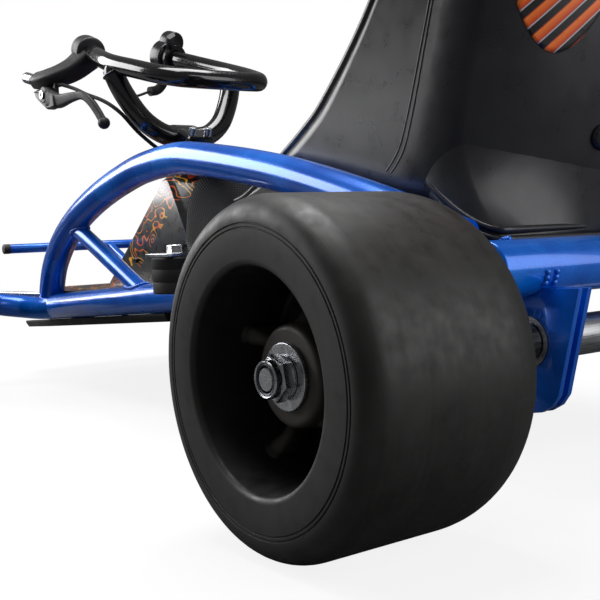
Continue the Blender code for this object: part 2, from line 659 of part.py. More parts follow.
def wheel_web(centre, axis, inner, turn):
    """One web from the hub to the rim: thin in the middle, flared at both ends, its edge dipping."""
    out = Vector((math.cos(turn), 0, math.sin(turn)))
    cross = Vector((-math.sin(turn), 0, math.cos(turn)))
    steps = 4
    shape = bmesh.new()
    rings = []
    for s in range(steps + 1):
        t = s / steps
        radius = WHEEL_HUB_R - 0.006 + (WHEEL_DISH_R - WHEEL_HUB_R + 0.010) * t
        half = WEB_HALF + WEB_FLARE * (2 * t - 1) ** 2
        top = inner + REAR_WHEEL_W - WHEEL_HUB_IN - 0.004 - WEB_DIP * math.sin(math.pi * t)
        low = inner + WHEEL_FLOOR - 0.004
        rings.append([shape.verts.new(centre + out * radius + cross * c + axis * h)
                      for c, h in ((-half, low), (half, low), (half, top), (-half, top))])
    for ring, after in zip(rings, rings[1:]):
        for k in range(4):
            n = (k + 1) % 4
            shape.faces.new([ring[k], ring[n], after[n], after[k]])
    shape.faces.new(rings[0])
    shape.faces.new(rings[-1])
    return from_bmesh(shape, "tool", CHARCOAL_PLASTIC)


def rear_wheel(side, sign):
    """A hard plastic slider wheel with a deep dish and webs to its hub."""
    inner = REAR_TRACK_OUT - REAR_WHEEL_W
    axis = Vector((0, sign, 0))
    centre = at(0, 0, AXLE_Z)
    wheel = turned("slider_wheel_" + side, [(r, h + inner) for r, h in rear_wheel_profile()],
                   centre, axis, CHARCOAL_PLASTIC, 36)
    carve(wheel, [wheel_web(centre, axis, inner, 2 * math.pi * (k + 0.25) / WHEEL_WEBS)
                  for k in range(WHEEL_WEBS)], "UNION")
    set_origin(wheel, centre)


def set_origin(made, origin):
    """Put a node's origin on its joint axis and leave its shape where it is."""
    made.data.transform(Matrix.Translation(-origin))
    made.location = origin


def rear_axle():
    centre = at(0, 0, AXLE_Z)
    across = Vector((0, 1, 0))
    hub_face = REAR_TRACK_OUT - WHEEL_HUB_IN
    bore = AXLE_R + GAP
    end = hub_face + GAP * 2 + WASHER_THICK + NUT_LENGTH - 0.0015
    turned("rear_axle", cylinder_profile(AXLE_R, -end, end, 0.001), centre, across, STEEL, 20, centre)
    bearing_in = PLATE_OUT_Y - 2 * PLATE_THICK - PLATE_GAP - 0.0005
    bearing_out = PLATE_OUT_Y + 0.0005
    turned("axle_sleeve", tube_profile(bore, SLEEVE_R, -(bearing_in - GAP), bearing_in - GAP),
           centre, across, STEEL, 18, centre)
    for side, sign in SIDES:
        axis = Vector((0, sign, 0))
        rear_wheel(side, sign)
        turned("axle_bearing_" + side, tube_profile(bore, BEARING_R, bearing_in, bearing_out),
               centre, axis, STEEL, 20)
        turned("axle_washer_" + side, tube_profile(bore, WASHER_R, hub_face + GAP,
                                                   hub_face + GAP + WASHER_THICK), centre, axis, ZINC, 20,
               centre)
        base = hub_face + 2 * GAP + WASHER_THICK
        nut = turned("axle_nut_" + side,
                     [(bore, base), (NUT_FLAT * 1.3, base), (NUT_FLAT * 1.3, base + 0.0078),
                      (NUT_FLAT * 0.98, base + 0.0092), (NUT_FLAT * 0.92, base + NUT_LENGTH - 0.0012),
                      (NUT_FLAT * 0.80, base + NUT_LENGTH), (bore, base + NUT_LENGTH)],
                     centre, axis, ZINC, 12)
        hexagon = turned("tool", cylinder_profile(NUT_FLAT / math.cos(math.pi / 6), base - 0.002,
                                                  base + NUT_LENGTH + 0.002), centre, axis, ZINC, 6)
        carve(nut, [hexagon], "INTERSECT")
        set_origin(nut, centre)
    wheel_in = REAR_TRACK_OUT - REAR_WHEEL_W + WHEEL_HUB_BACK
    return bearing_out + GAP, wheel_in - GAP


def tooth_ring(teeth, outer, root):
    """Outline of a toothed disc."""
    outline = []
    for k in range(teeth):
        for part, radius in ((0.0, root), (0.5, outer)):
            a = 2 * math.pi * (k + part) / teeth
            outline.append((radius * math.cos(a), radius * math.sin(a)))
    return outline


def pitch_radius(teeth):
    return CHAIN_PITCH / (2 * math.sin(math.pi / teeth))


def toothed_disc(name, teeth, centre, inner):
    """A toothed ring, left open in the middle for its hub."""
    outer = pitch_radius(teeth) - CHAIN_TALL / 2 - GAP
    outline = tooth_ring(teeth, outer, outer - 0.0016)
    shape = bmesh.new()
    loops = []
    for side in (-0.5, 0.5):
        y = centre.y + SPROCKET_THICK * side
        for scales in ([1.0] * len(outline), [inner / math.hypot(u, v) for u, v in outline]):
            loops.append([shape.verts.new((centre.x + u * f, y, centre.z + v * f))
                          for (u, v), f in zip(outline, scales)])
    for k in range(len(outline)):
        n = (k + 1) % len(outline)
        for one, other in ((0, 1), (2, 3), (0, 2), (1, 3)):
            shape.faces.new([loops[one][k], loops[one][n], loops[other][n], loops[other][k]])
    return from_bmesh(shape, name, STEEL)


def driven_sprocket(inner_end, outer_end):
    """The axle's sprocket, with its hub between the right bearing and the right wheel."""
    axle = at(0, 0, AXLE_Z)
    centre = at(0, SPROCKET_Y, AXLE_Z)
    made = toothed_disc("axle_sprocket", SPROCKET_TEETH, centre, CARRIER_R - 0.002)
    hub = turned("tool", tube_profile(AXLE_R + GAP, CARRIER_R, inner_end, outer_end), axle,
                 Vector((0, -1, 0)), STEEL, 18)
    carve(made, [hub], "UNION")
    set_origin(made, axle)


def brake_disc(inner_end, outer_end):
    """The brake disc, with its hub between the left bearing and the left wheel."""
    axle = at(0, 0, AXLE_Z)
    centre = at(0, DISC_Y, AXLE_Z)
    across = Vector((0, 1, 0))
    disc = turned("brake_disc", tube_profile(CARRIER_R - 0.002, DISC_R, -DISC_THICK / 2, DISC_THICK / 2),
                  centre, across, STEEL, 28)
    carve(disc, [turned("tool", tube_profile(AXLE_R + GAP, CARRIER_R, inner_end, outer_end), axle, across,
                        STEEL, 18)], "UNION")
    set_origin(disc, axle)


def brake_caliper():
    """A fixed caliper over the disc's front edge on a foot against the axle plate, and its pull arm."""
    ahead = CALIPER_AHEAD
    caliper = block("brake_caliper", at(ahead - 0.012, DISC_Y - 0.022, AXLE_Z - 0.018),
                    at(ahead + 0.020, DISC_Y + CALIPER_OUT, AXLE_Z + 0.018), CAST_METAL)
    low, high = PLATE_OUT_Y + GAP, PLATE_OUT_Y + GAP + 0.004
    foot = block("tool", at(0.020, low, AXLE_Z + 0.004), at(ahead + 0.004, high, AXLE_Z + 0.016), STEEL)
    web = block("tool", at(ahead - 0.004, low + 0.0005, AXLE_Z + 0.005), at(ahead + 0.0035, DISC_Y - 0.018,
                                                                       AXLE_Z + 0.0155), STEEL)
    carve(caliper, [foot, web], "UNION")
    slot = block("tool", at(ahead - 0.020, DISC_Y - DISC_THICK / 2 - PAD_GAP, AXLE_Z - 0.03),
                 at(DISC_R + 0.002, DISC_Y + DISC_THICK / 2 + PAD_GAP, AXLE_Z + 0.03), STEEL)
    carve(caliper, [slot])
    pivot = at(ahead + 0.008, DISC_Y - 0.022 - GAP, AXLE_Z - 0.008)
    shape = bmesh.new()
    add_extrusion(shape, [(-0.007, -0.007), (0.007, -0.007), (0.005, -CALIPER_ARM), (-0.003, -CALIPER_ARM)],
                  pivot, Vector((0, -1, 0)), 0.004, Vector((1, 0, 0)))
    from_bmesh(shape, "brake_arm", ZINC, pivot)


# Motor, chain and power
def motor():
    centre = at(MOTOR_AHEAD, 0, MOTOR_Z)
    right = Vector((0, -1, 0))
    low, high = -MOTOR_IN_Y, -MOTOR_OUT_Y
    turned("motor", [(0, low), (MOTOR_R - 0.004, low), (MOTOR_R, low + 0.004), (MOTOR_R, high - 0.012),
                     (MOTOR_R - 0.002, high - 0.010), (MOTOR_R - 0.002, high - 0.003), (0.016, high - 0.002),
                     (0.016, high), (0, high)], centre, right, BLACK_PAINT, 24)
    spot = at(MOTOR_AHEAD, SPROCKET_Y, MOTOR_Z)
    made = toothed_disc("motor_sprocket", PINION_TEETH, spot, MOTOR_SHAFT_R * 0.7)
    shaft = rod_tool(at(MOTOR_AHEAD, -(high + GAP), MOTOR_Z), at(MOTOR_AHEAD, SPROCKET_Y - 0.008, MOTOR_Z),
                     MOTOR_SHAFT_R, 14)
    carve(made, [shaft], "UNION")
    set_origin(made, centre)


def chain_line(offset):
    """Closed line round both sprockets, a distance outside their pitch lines, as (ahead, z)."""
    big, small = pitch_radius(SPROCKET_TEETH) + offset, pitch_radius(PINION_TEETH) + offset
    dx, dz = MOTOR_AHEAD, MOTOR_Z - AXLE_Z
    span = math.hypot(dx, dz)
    tilt = math.atan2(dz, dx)
    wrap = math.acos((big - small) / span)
    line = []
    for k in range(21):
        a = tilt + wrap + (2 * math.pi - 2 * wrap) * k / 20
        line.append((big * math.cos(a), AXLE_Z + big * math.sin(a)))
    for k in range(7):
        a = tilt - wrap + 2 * wrap * k / 6
        line.append((dx + small * math.cos(a), MOTOR_Z + small * math.sin(a)))
    return line


def drive_chain():
    """The chain as one flat band round both sprockets."""
    loops = []
    shape = bmesh.new()
    for line in (chain_line(-CHAIN_TALL / 2 + GAP), chain_line(CHAIN_TALL / 2)):
        for offset in (-CHAIN_WIDTH / 2, CHAIN_WIDTH / 2):
            loops.append([shape.verts.new(at(x, SPROCKET_Y + offset, z)) for x, z in line])
    in_low, in_high, out_low, out_high = loops
    for k in range(len(in_low)):
        n = (k + 1) % len(in_low)
        shape.faces.new([in_low[k], in_low[n], in_high[n], in_high[k]])
        shape.faces.new([out_low[k], out_low[n], out_high[n], out_high[k]])
        shape.faces.new([in_low[k], in_low[n], out_low[n], out_low[k]])
        shape.faces.new([in_high[k], in_high[n], out_high[n], out_high[k]])
    from_bmesh(shape, "drive_chain", STEEL)


def tray_floor():
    """Upper face of the battery tray."""
    return rail_z(BATTERY_AHEAD + BATTERY_SIZE[0]) - RAIL_R + 0.001


def battery_tray():
    """One folded sheet between the rails that carries the batteries, the controller and the motor."""
    front = BATTERY_AHEAD + BATTERY_SIZE[0] + 0.006
    middle = BATTERY_AHEAD - 0.006
    rear = MOTOR_AHEAD - 0.034
    floor = tray_floor()
    drop = MOTOR_Z - MOTOR_R - GAP
    lip = RAIL_REAR_Y - 0.004
    tray = block("battery_tray", at(middle, -lip, floor - TRAY_THICK), at(front, lip, floor), BLACK_PAINT)
    tools = [block("tool", at(front - TRAY_THICK, -0.112, floor - TRAY_THICK),
                   at(front, 0.112, floor + 0.028), BLACK_PAINT),
             block("tool", at(middle, -lip + 0.02, drop - 0.003), at(middle + TRAY_THICK, lip - 0.02, floor),
                   BLACK_PAINT),
             block("tool", at(rear, -lip + 0.02, drop - 0.003), at(middle + TRAY_THICK, 0.092, drop),
                   BLACK_PAINT)]
    carve(tray, tools, "UNION")
    carve(tray, [rail_tool(1), rail_tool(-1)])


def power():
    """The battery pack in its tray, the controller beside the motor and the power switch."""
    long, wide, tall = BATTERY_SIZE
    floor = tray_floor()
    shape = bmesh.new()
    low = at(BATTERY_AHEAD, -wide, floor + GAP)
    add_block(shape, low, low + Vector((long, wide * 2, tall)))
    pack = from_bmesh(shape, "battery_pack", BLACK_PLASTIC)
    terminals = [block("tool", at(BATTERY_AHEAD + 0.012, y, floor + tall - 0.002),
                       at(BATTERY_AHEAD + 0.020, y + 0.006, floor + tall + 0.004), RED_PLASTIC)
                 for y in (-0.080, -0.020, 0.014, 0.074)]
    carve(pack, terminals, "UNION")
    groove = block("tool", at(BATTERY_AHEAD - 0.01, -0.0006, floor + 0.008),
                   at(BATTERY_AHEAD + long + 0.01, 0.0006, floor + tall + 0.01), BLACK_PLASTIC)
    carve(pack, [groove])
    drop = MOTOR_Z - MOTOR_R
    long, wide, tall = CONTROLLER_SIZE
    low = at(MOTOR_AHEAD - 0.030, 0.000, drop)
    block("motor_controller", low, low + Vector((wide, long * 0.82, tall)), CAST_METAL)
    seat = low + Vector((wide * 0.5, long * 0.4, tall + GAP))
    shape = bmesh.new()
    add_extrusion(shape, [(-0.0095, 0), (0.0095, 0), (0.0095, 0.003), (0, 0.0015), (-0.0095, 0.003)],
                  seat + Vector((0, 0.006, 0)), Vector((0, -1, 0)), 0.012, Vector((1, 0, 0)))
    from_bmesh(shape, "power_switch", RED_PLASTIC, seat)


# Floor, pans and cover
def floor_panel():
    """The moulded foot panel between the rails, in front of the driver."""
    front, rear = HOOP_REACH - HOOP_R - 0.002, FLOOR_TUBE_AHEAD - 0.012
    half = [(rear, rail_y(rear) - 0.012), (RAIL_END - 0.02, rail_y(RAIL_END) - 0.012), (0.800, 0.112),
            (front - 0.03, 0.112), (front, 0.085)]
    outline = half + [(x, -y) for x, y in reversed(half)]
    shape = bmesh.new()
    add_extrusion(shape, [at(x, y, 0).xy for x, y in outline], Vector((0, 0, FLOOR_Z)), Vector((0, 0, 1)),
                  FLOOR_THICK, Vector((1, 0, 0)))
    made = from_bmesh(shape, "floor_panel", BLACK_PLASTIC)
    z = FLOOR_Z - GAP - FLOOR_TUBE_R
    tools = [rod_tool(column_point(0), column_point(0.2), COLUMN_R + 0.004),
             rod_tool(at(FLOOR_TUBE_AHEAD, -0.2, z), at(FLOOR_TUBE_AHEAD, 0.2, z), FLOOR_TUBE_R + GAP, 18),
             rod_tool(*stem_line(), FOOT_STEM_R + 0.002, 16)]
    for sign in (1, -1):
        tools += [rail_tool(sign, 0.0005), arch_tool(sign)]
        tools.append(rod_tool(*stay_line(sign), STAY_R + 0.002, 12))
        tools.append(swept("tool", flip(arm_path(), sign), circle(ARM_R + GAP, 12), BLUE_PAINT))
    carve(made, tools)


def belly_pan():
    """The black skid pan: a shallow tub that hangs by its edges from the underside of the rails."""
    shape = bmesh.new()
    rings = []
    for x in (0.440, 0.600, RAIL_END, 0.830, 0.885):
        half = rail_y(x) + 0.004 - max(0.0, x - RAIL_END) * 0.12
        top = rail_z(x) - RAIL_R - GAP
        side = [(half - 0.014, top - PAN_DROP + PAN_THICK), (half - 0.010, top), (half, top),
                (half, top - PAN_THICK), (half - 0.004, top - PAN_DROP)]
        rings.append([shape.verts.new(at(x, y, z)) for y, z in side + [(-y, z) for y, z in reversed(side)]])
    for ring, after in zip(rings, rings[1:]):
        for k in range(len(ring)):
            n = (k + 1) % len(ring)
            shape.faces.new([ring[k], ring[n], after[n], after[k]])
    shape.faces.new(rings[0])
    shape.faces.new(rings[-1])
    from_bmesh(shape, "belly_pan", BLACK_PLASTIC)


def console_cover():
    """The moulded cover round the steering column: open below, with a hole for the column above."""
    low = FLOOR_Z + FLOOR_THICK + GAP
    side = [(COVER_REAR, low), (0.622, COVER_TOP - 0.006), (0.630, COVER_TOP), (0.644, COVER_TOP - 0.001),
            (COVER_FRONT, low)]
    outline = [at(x, 0, z).xz for x, z in side]
    shape = bmesh.new()
    add_extrusion(shape, outline, Vector((0, -COVER_HALF, 0)), Vector((0, -1, 0)), -COVER_HALF * 2,
                  Vector((1, 0, 0)))
    edges = [e for e in shape.edges if max(abs(v.co.z - low) for v in e.verts) > 0.001]
    bmesh.ops.recalc_face_normals(shape, faces=shape.faces)
    bmesh.ops.bevel(shape, geom=edges, offset=0.006, segments=1, affect="EDGES")
    cover = from_bmesh(shape, "console_cover", BLACK_PLASTIC)
    middle = at(0.660, 0, 0.160).xz
    inner = []
    for x, z in outline:
        away = Vector((x - middle[0], z - middle[1]))
        away *= 1 - COVER_WALL * 1.7 / away.length
        inner.append((middle[0] + away.x, middle[1] + away.y - (0.012 if z <= low + 1e-6 else 0.0)))
    hollow = bmesh.new()
    add_extrusion(hollow, inner, Vector((0, -(COVER_HALF - COVER_WALL), 0)), Vector((0, -1, 0)),
                  -(COVER_HALF - COVER_WALL) * 2, Vector((1, 0, 0)))
    carve(cover, [from_bmesh(hollow, "tool", BLACK_PLASTIC),
                  rod_tool(column_point(0.02), column_point(COLUMN_LENGTH), HEAD_R + 0.006, 24),
                  rod_tool(*stem_line(), FOOT_STEM_R + 0.002, 16)]
          + [rod_tool(at(COVER_REAR - 0.02, y, CABLE_FLOOR_Z), at(COVER_REAR + 0.03, y, CABLE_FLOOR_Z),
                      0.0035, 10) for y in (-0.008, 0.008)])


# Seat
def hermite(values, place):
    """A value read from a list along a smooth curve."""
    i = min(int(place), len(values) - 2)
    t = place - i
    a, b, c, d = (values[max(0, min(len(values) - 1, j))] for j in (i - 1, i, i + 1, i + 2))
    square, cube = 2 * a - 5 * b + 4 * c - d, 3 * b - a - 3 * c + d
    return 0.5 * (2 * b + (c - a) * t + square * t * t + cube * t ** 3)


def seat_section(place):
    """Half of one section of the bucket, from its middle out to the edge of its wing."""
    columns = list(zip(*SEAT_ROWS))
    low_x, low_z, edge_x, edge_z, half, flare = (hermite(column, place) for column in columns)
    base, edge = Vector((low_x, low_z)), Vector((edge_x, edge_z))
    rise = edge - base
    height = rise.length
    up = rise / height
    back = min(1.0, max(0.0, (place - 4.5) / 2.5))
    back = back * back * (3 - 2 * back)
    wide = SEAT_CORNER[0] + (SEAT_CORNER[1] - SEAT_CORNER[0]) * back
    corner, bow = min(SEAT_CORNER_UP, height * 0.8), min(SEAT_BOW * back, height * 0.4)
    flat = half - wide
    turn = bow * (1 + 2 * wide / flat)
    points = [(flat * k / 4, base + up * bow * (k / 4) ** 2) for k in range(5)]
    for t in (0.33, 0.67, 1.0):
        points.append((flat * (1 - t) ** 2 + half * (1 - (1 - t) ** 2),
                       base + up * (bow * (1 - t) ** 2 + turn * 2 * t * (1 - t) + corner * t * t)))
    for k in (1, 2):
        t = k / 2
        points.append((half + flare * t, base + up * (corner + (height - corner) * t)))
    return [(-y, p) for y, p in reversed(points[1:])] + points


def seat_shell():
    """The moulded bucket: one continuous shell of pan, back and side wings."""
    shape = bmesh.new()
    rows = [[shape.verts.new(at(p[0], y, p[1])) for y, p in seat_section(k)] for k in range(len(SEAT_ROWS))]
    for row, after in zip(rows, rows[1:]):
        for k in range(len(row) - 1):
            shape.faces.new([row[k], row[k + 1], after[k + 1], after[k]])
    bmesh.ops.recalc_face_normals(shape, faces=shape.faces)
    mesh = bpy.data.meshes.new("seat_shell")
    shape.to_mesh(mesh)
    shape.free()
    mesh.materials.append(finish(*SEAT_PLASTIC))
    seat = bpy.data.objects.new("seat_shell", mesh)
    bpy.context.collection.objects.link(seat)
    wall = seat.modifiers.new("wall", "SOLIDIFY")
    wall.thickness = SEAT_WALL
    wall.offset = 0.0
    wall.use_even_offset = True
    carve(seat, [])
    carve(seat, [rod_tool(at(x, y, 0.160), at(x, y, 0.195), SEAT_STUD_R + GAP, 10) for x, y in SEAT_STUDS])


def seat_base_z(ahead):
    """Height of the seat shell's middle surface under the driver."""
    xs, zs = [row[0] for row in SEAT_ROWS], [row[1] for row in SEAT_ROWS]
    return hermite(zs, min((k / 20 for k in range(100)), key=lambda place: abs(hermite(xs, place) - ahead)))


def seat_frame():
    """Two folded cross bars on the rails, joined by a strip, carry the seat on four studs."""
    bars = []
    tops = []
    for x in (SEAT_STUDS[0][0], SEAT_STUDS[2][0]):
        z = seat_base_z(x) - SEAT_WALL / 2 - 0.0012
        span = rail_y(x) + 0.004
        foot = rail_z(x) + RAIL_R + 0.0012
        path = [at(x, -span, foot), at(x, -span + 0.024, foot), at(x, -0.108, z - 0.002),
                at(x, 0.108, z - 0.002), at(x, span - 0.024, foot), at(x, span, foot)]
        bars.append(swept("seat_frame" if not bars else "tool", path, rectangle(0.030, 0.004), BLACK_PAINT,
                          Vector((1, 0, 0))))
        tops.append(at(x, 0, z))
    parts = [bars[1]]
    for y in (-0.055, 0.055):
        parts.append(swept("tool", [tops[0] + Vector((0, y, -0.0025)), tops[1] + Vector((0, y, -0.0025))],
                           rectangle(0.020, 0.003), BLACK_PAINT, Vector((0, 1, 0))))
    for x, y in SEAT_STUDS:
        top = tops[0] if x < 0.2 else tops[1]
        spot = Vector((top.x, y, top.z - 0.002))
        parts.append(rod_tool(spot, spot + Vector((0, 0, 0.016)), SEAT_STUD_R, 12))
    carve(bars[0], parts, "UNION")
    carve(bars[0], [rail_tool(1), rail_tool(-1), arch_tool(1), arch_tool(-1)])


# Lap belt
def belt(sign):
    """One half of the lap belt, from its tab up past the seat's wing and over to the buckle."""
    path = smooth_path([at(BELT_ANCHOR[0] + x, y * sign, z) for x, y, z in BELT_ROUTE], 0.02)
    side = "left" if sign > 0 else "right"
    across = Vector((math.cos(BELT_TURN), sign * math.sin(BELT_TURN), 0))
    swept("belt_strap_" + side, path, rectangle(BELT_WIDTH, BELT_THICK), WEBBING, across)


def belt_anchor(side, sign):
    """A rubber spacer on a lug beside the rail, with the belt's steel tab bolted on top."""
    x, y, z = BELT_ANCHOR
    centre = at(x, y * sign, z)
    up = Vector((0, 0, 1))
    spacer = turned("belt_spacer_" + side, cylinder_profile(BELT_SPACER_R, 0, BELT_SPACER_TALL),
                    centre, up, RUBBER, 20)
    carve(spacer, [rail_tool(sign)])
    top = centre + up * (BELT_SPACER_TALL + GAP)
    shape = bmesh.new()
    outline = [(-0.018, -0.026), (0.026, -0.026), (0.034, -0.014), (0.034, 0.008), (0.026, 0.018),
               (-0.018, 0.018)]
    add_extrusion(shape, [(u, v * sign) for u, v in outline], top, up, 0.003, Vector((1, 0, 0)))
    tab = from_bmesh(shape, "belt_tab_" + side, ZINC)
    head = bmesh.new()
    add_hex(head, top + Vector((-0.004, 0, 0.0025)), up, 0.0085, 0.0085)
    carve(tab, [from_bmesh(head, "tool", ZINC)], "UNION")


def buckle():
    """The push button buckle that lies in the driver's lap, and its button."""
    x, y, z = BUCKLE
    centre = at(x, y, z)
    shape = bmesh.new()
    half = BELT_WIDTH / 2 + 0.006
    add_block(shape, centre + Vector((-half, -0.028, -0.008)), centre + Vector((half, 0.028, 0.010)), 0.004)
    body = from_bmesh(shape, "belt_buckle", BLACK_PLASTIC)
    low = centre + Vector((-0.013, -0.020, 0.0045))
    well = block("tool", low, low + Vector((0.026, 0.016, 0.02)), BLACK_PLASTIC)
    wide = BELT_WIDTH / 2 + GAP
    slots = [block("tool", centre + Vector((-wide, s * 0.029 - 0.011, -BELT_THICK)),
                   centre + Vector((wide, s * 0.029 + 0.011, BELT_THICK)), STEEL) for s in (-1, 1)]
    carve(body, [well] + slots)
    inset = Vector((GAP, GAP, 0.0032))
    base = low + inset
    shape = bmesh.new()
    add_block(shape, base, low + Vector((0.026 - GAP, 0.016 - GAP, 0.0078)))
    from_bmesh(shape, "buckle_button", RED_PLASTIC, base)


# Steering
def column_axis():
    return Vector((-math.sin(COLUMN_LEAN), 0, math.cos(COLUMN_LEAN)))


def column_point(along):
    return at(COLUMN_FOOT_AHEAD, 0, COLUMN_FOOT_Z) + column_axis() * along


def column_forward():
    return Vector((math.cos(COLUMN_LEAN), 0, math.sin(COLUMN_LEAN)))


def pitman_end(sign):
    """Middle of the tie rod's eye under the pitman arm."""
    return (column_point(PITMAN_ALONG - ROD_EYE_TALL / 2 - GAP) + column_forward() * PITMAN_LENGTH
            + Vector((0, PITMAN_HALF * sign, 0)))


def knuckle_end(sign):
    """Middle of the tie rod's eye on a knuckle's steering arm."""
    return at_front(KNUCKLE_ARM, sign * KINGPIN_Y,
                    KNUCKLE_ARM_Z + KNUCKLE_ARM_THICK + ROD_EYE_LIFT + ROD_EYE_TALL / 2)


def steering_column():
    """The column with its pitman arm, which turns in the head tube and the lower bearing."""
    profile = cylinder_profile(COLUMN_R, PITMAN_ALONG - 0.001, COLUMN_LENGTH, 0.0008)
    column = turned("steering_column", profile, column_point(0), column_axis(), STEEL, 24)
    shape = bmesh.new()
    end = PITMAN_LENGTH
    wide = PITMAN_HALF + 0.006
    outline = [(0, 0.012), (end * 0.6, 0.012), (end - 0.004, wide), (end + 0.006, wide), (end + 0.006, -wide),
               (end - 0.004, -wide), (end * 0.6, -0.012), (0, -0.012)]
    add_extrusion(shape, outline, column_point(PITMAN_ALONG), column_axis(), PITMAN_THICK, column_forward())
    arm = from_bmesh(shape, "tool", STEEL)
    studs = []
    for sign in (1, -1):
        middle = pitman_end(sign)
        studs.append(rod_tool(middle - column_axis() * (ROD_EYE_TALL / 2 + 0.0015),
                              middle + column_axis() * (ROD_EYE_TALL / 2 + 0.002), STUD_R, 10))
    carve(column, [arm] + studs, "UNION")
    set_origin(column, column_point(0))


def tie_rod(side, sign):
    """A rod with an eye at each end; its outer eye is loose on the knuckle's stud."""
    start, end = pitman_end(sign), knuckle_end(sign)
    up = Vector((0, 0, 1))
    away = (end - start).normalized()
    rod = rod_tool(start + away * 0.0066, end - away * 0.0088, ROD_R, 8)
    rod.name = "tie_rod_" + side
    rod.data.name = rod.name
    half = ROD_EYE_TALL / 2
    carve(rod, [turned("tool", cylinder_profile(radius, -half, half), spot, axis, STEEL, 12)
                for radius, spot, axis in ((0.0080, start, column_axis()), (0.0105, end, up))], "UNION")
    carve(rod, [rod_tool(start - column_axis() * 0.02, start + column_axis() * 0.02, STUD_R + GAP, 12),
                rod_tool(end - up * 0.02, end + up * 0.02, STUD_R + ROD_EYE_SLACK, 10)])
    set_origin(rod, start)


def loop_path():
    half = [at(*p) for p in LOOP_HALF]
    return smooth_path(half + [mirrored(p) for p in reversed(half)], 0.026)


def leg_path():
    half = [at(*p) for p in LEG_HALF]
    return smooth_path(half + [mirrored(p) for p in reversed(half)], 0.026)


def handlebar():
    """A closed loop of tube whose ends point forward, welded to a U of two legs."""
    bar = swept("handlebar", loop_path(), circle(BAR_R, 12), BLACK_PAINT)
    carve(bar, [swept("tool", leg_path(), circle(LEG_R, 12), BLACK_PAINT)], "UNION")
    set_origin(bar, column_point(0))


def stem_clamp():
    """The block on the column's top that holds the U of the handlebar, with its two bolts."""
    axis = column_axis()
    low = HEAD_FROM + HEAD_LENGTH + 0.006
    back, front, half = -0.0195, 0.0345, 0.019
    shape = bmesh.new()
    add_extrusion(shape, [(back, -half), (front, -half), (front, half), (back, half)], column_point(low),
                  axis, CLAMP_TOP - low, column_forward())
    clamp = from_bmesh(shape, "stem_clamp", BLACK_PAINT)
    bolts = []
    for _, sign in SIDES:
        foot = column_point(CLAMP_TOP - 0.004) + column_forward() * -0.0115 + Vector((0, 0.0105 * sign, 0))
        bolts.append(rod_tool(foot, foot + axis * 0.0095, 0.0048, 16))
    carve(clamp, bolts, "UNION")
    carve(clamp, [rod_tool(column_point(0), column_point(COLUMN_LENGTH + GAP), COLUMN_R + GAP, 28),
                  swept("tool", leg_path(), circle(LEG_R + GAP, 12), BLACK_PAINT)])
    set_origin(clamp, column_point(0))


def brake_lever():
    """The lever's clamp on the left end of the handlebar, its body with the adjuster, and the lever."""
    first, second = at(*LOOP_HALF[0]), at(*LOOP_HALF[1])
    back = (second - first).normalized()
    spot = first + back * LEVER_IN
    mount = turned("brake_lever_mount", cylinder_profile(BAR_R + 0.007, -0.014, 0.014, 0.003), spot, back,
                   BLACK_PLASTIC, 16)
    body = swept("tool", smooth_path([at(*p) for p in LEVER_BODY], 0.01), rectangle(0.022, 0.018, 0.005, 1),
                 BLACK_PLASTIC, Vector((0, 1, 0)))
    nose, tip = at(*LEVER_BODY[-1]), at(*ADJUSTER_TIP)
    away = (tip - nose).normalized()
    adjuster = turned("tool", [(0, -0.008), (0.0045, -0.008), (0.0045, 0.001), (0.0075, 0.002),
                               (0.0075, (tip - nose).length - 0.003), (0.0055, (tip - nose).length),
                               (0, (tip - nose).length)], nose, away, ZINC, 12)
    pivot = at(*LEVER_PIVOT)
    across = Vector((0, 1, 0))
    cheek = block("tool", pivot + Vector((-0.011, -LEVER_EYE - 0.0068, -0.009)),
                  pivot + Vector((0.015, -LEVER_EYE - 0.0008, 0.022)), BLACK_PLASTIC, 0.001)
    pin = turned("tool", [(0, -0.0100), (0.003, -0.0100), (0.003, LEVER_EYE + GAP), (0.0055, LEVER_EYE + GAP),
                          (0.0055, LEVER_EYE + 0.0025), (0, LEVER_EYE + 0.0025)], pivot, across, ZINC, 12)
    carve(mount, [body, adjuster, cheek, pin], "UNION")
    carve(mount, [swept("tool", loop_path(), circle(BAR_R + GAP, 12), BLACK_PAINT)])
    set_origin(mount, column_point(0))

    lever = turned("brake_lever", cylinder_profile(0.0105, -LEVER_EYE, LEVER_EYE, 0.001), pivot, across,
                   BLACK_PLASTIC, 18)
    line = [pivot + Vector((-0.004, 0, -0.001))] + [at(*p) for p in LEVER_BLADE]
    blade = swept("tool", smooth_path(line, 0.012), rectangle(0.0085, 0.011, 0.003, 1), BLACK_PLASTIC,
                  Vector((0, 1, 0)))
    round_end = [(0.0075 * math.cos(math.radians(a)), 0.0075 * math.sin(math.radians(a)))
                 for a in (-60, -30, 0, 30, 60)]
    ball = turned("tool", [(0, -0.0075)] + round_end + [(0, 0.0075)], at(*LEVER_BLADE[-1]), across,
                  BLACK_PLASTIC, 12)
    carve(lever, [blade, ball], "UNION")
    carve(lever, [rod_tool(pivot - across * 0.02, pivot + across * 0.02, 0.003 + GAP, 12)])
    set_origin(lever, pivot)


def throttle_frame():
    """Middle of the throttle on the right arm, and its directions: back along the arm, up and inboard."""
    first, second = mirrored(at(*LOOP_HALF[0])), mirrored(at(*LOOP_HALF[1]))
    back = (second - first).normalized()
    up = (Vector((0, 0, 1)) - back * back.z).normalized()
    side = back.cross(up)
    return first + back * THROTTLE_IN, back, up, side if side.y > 0 else -side


def throttle_tail():
    """Middle line of the housing's boot, which the lead leaves."""
    spot, back, up, inboard = throttle_frame()
    return [spot - up * 0.012, spot - up * 0.032, spot - up * 0.045 + inboard * 0.008,
            spot - up * 0.049 + inboard * 0.022]


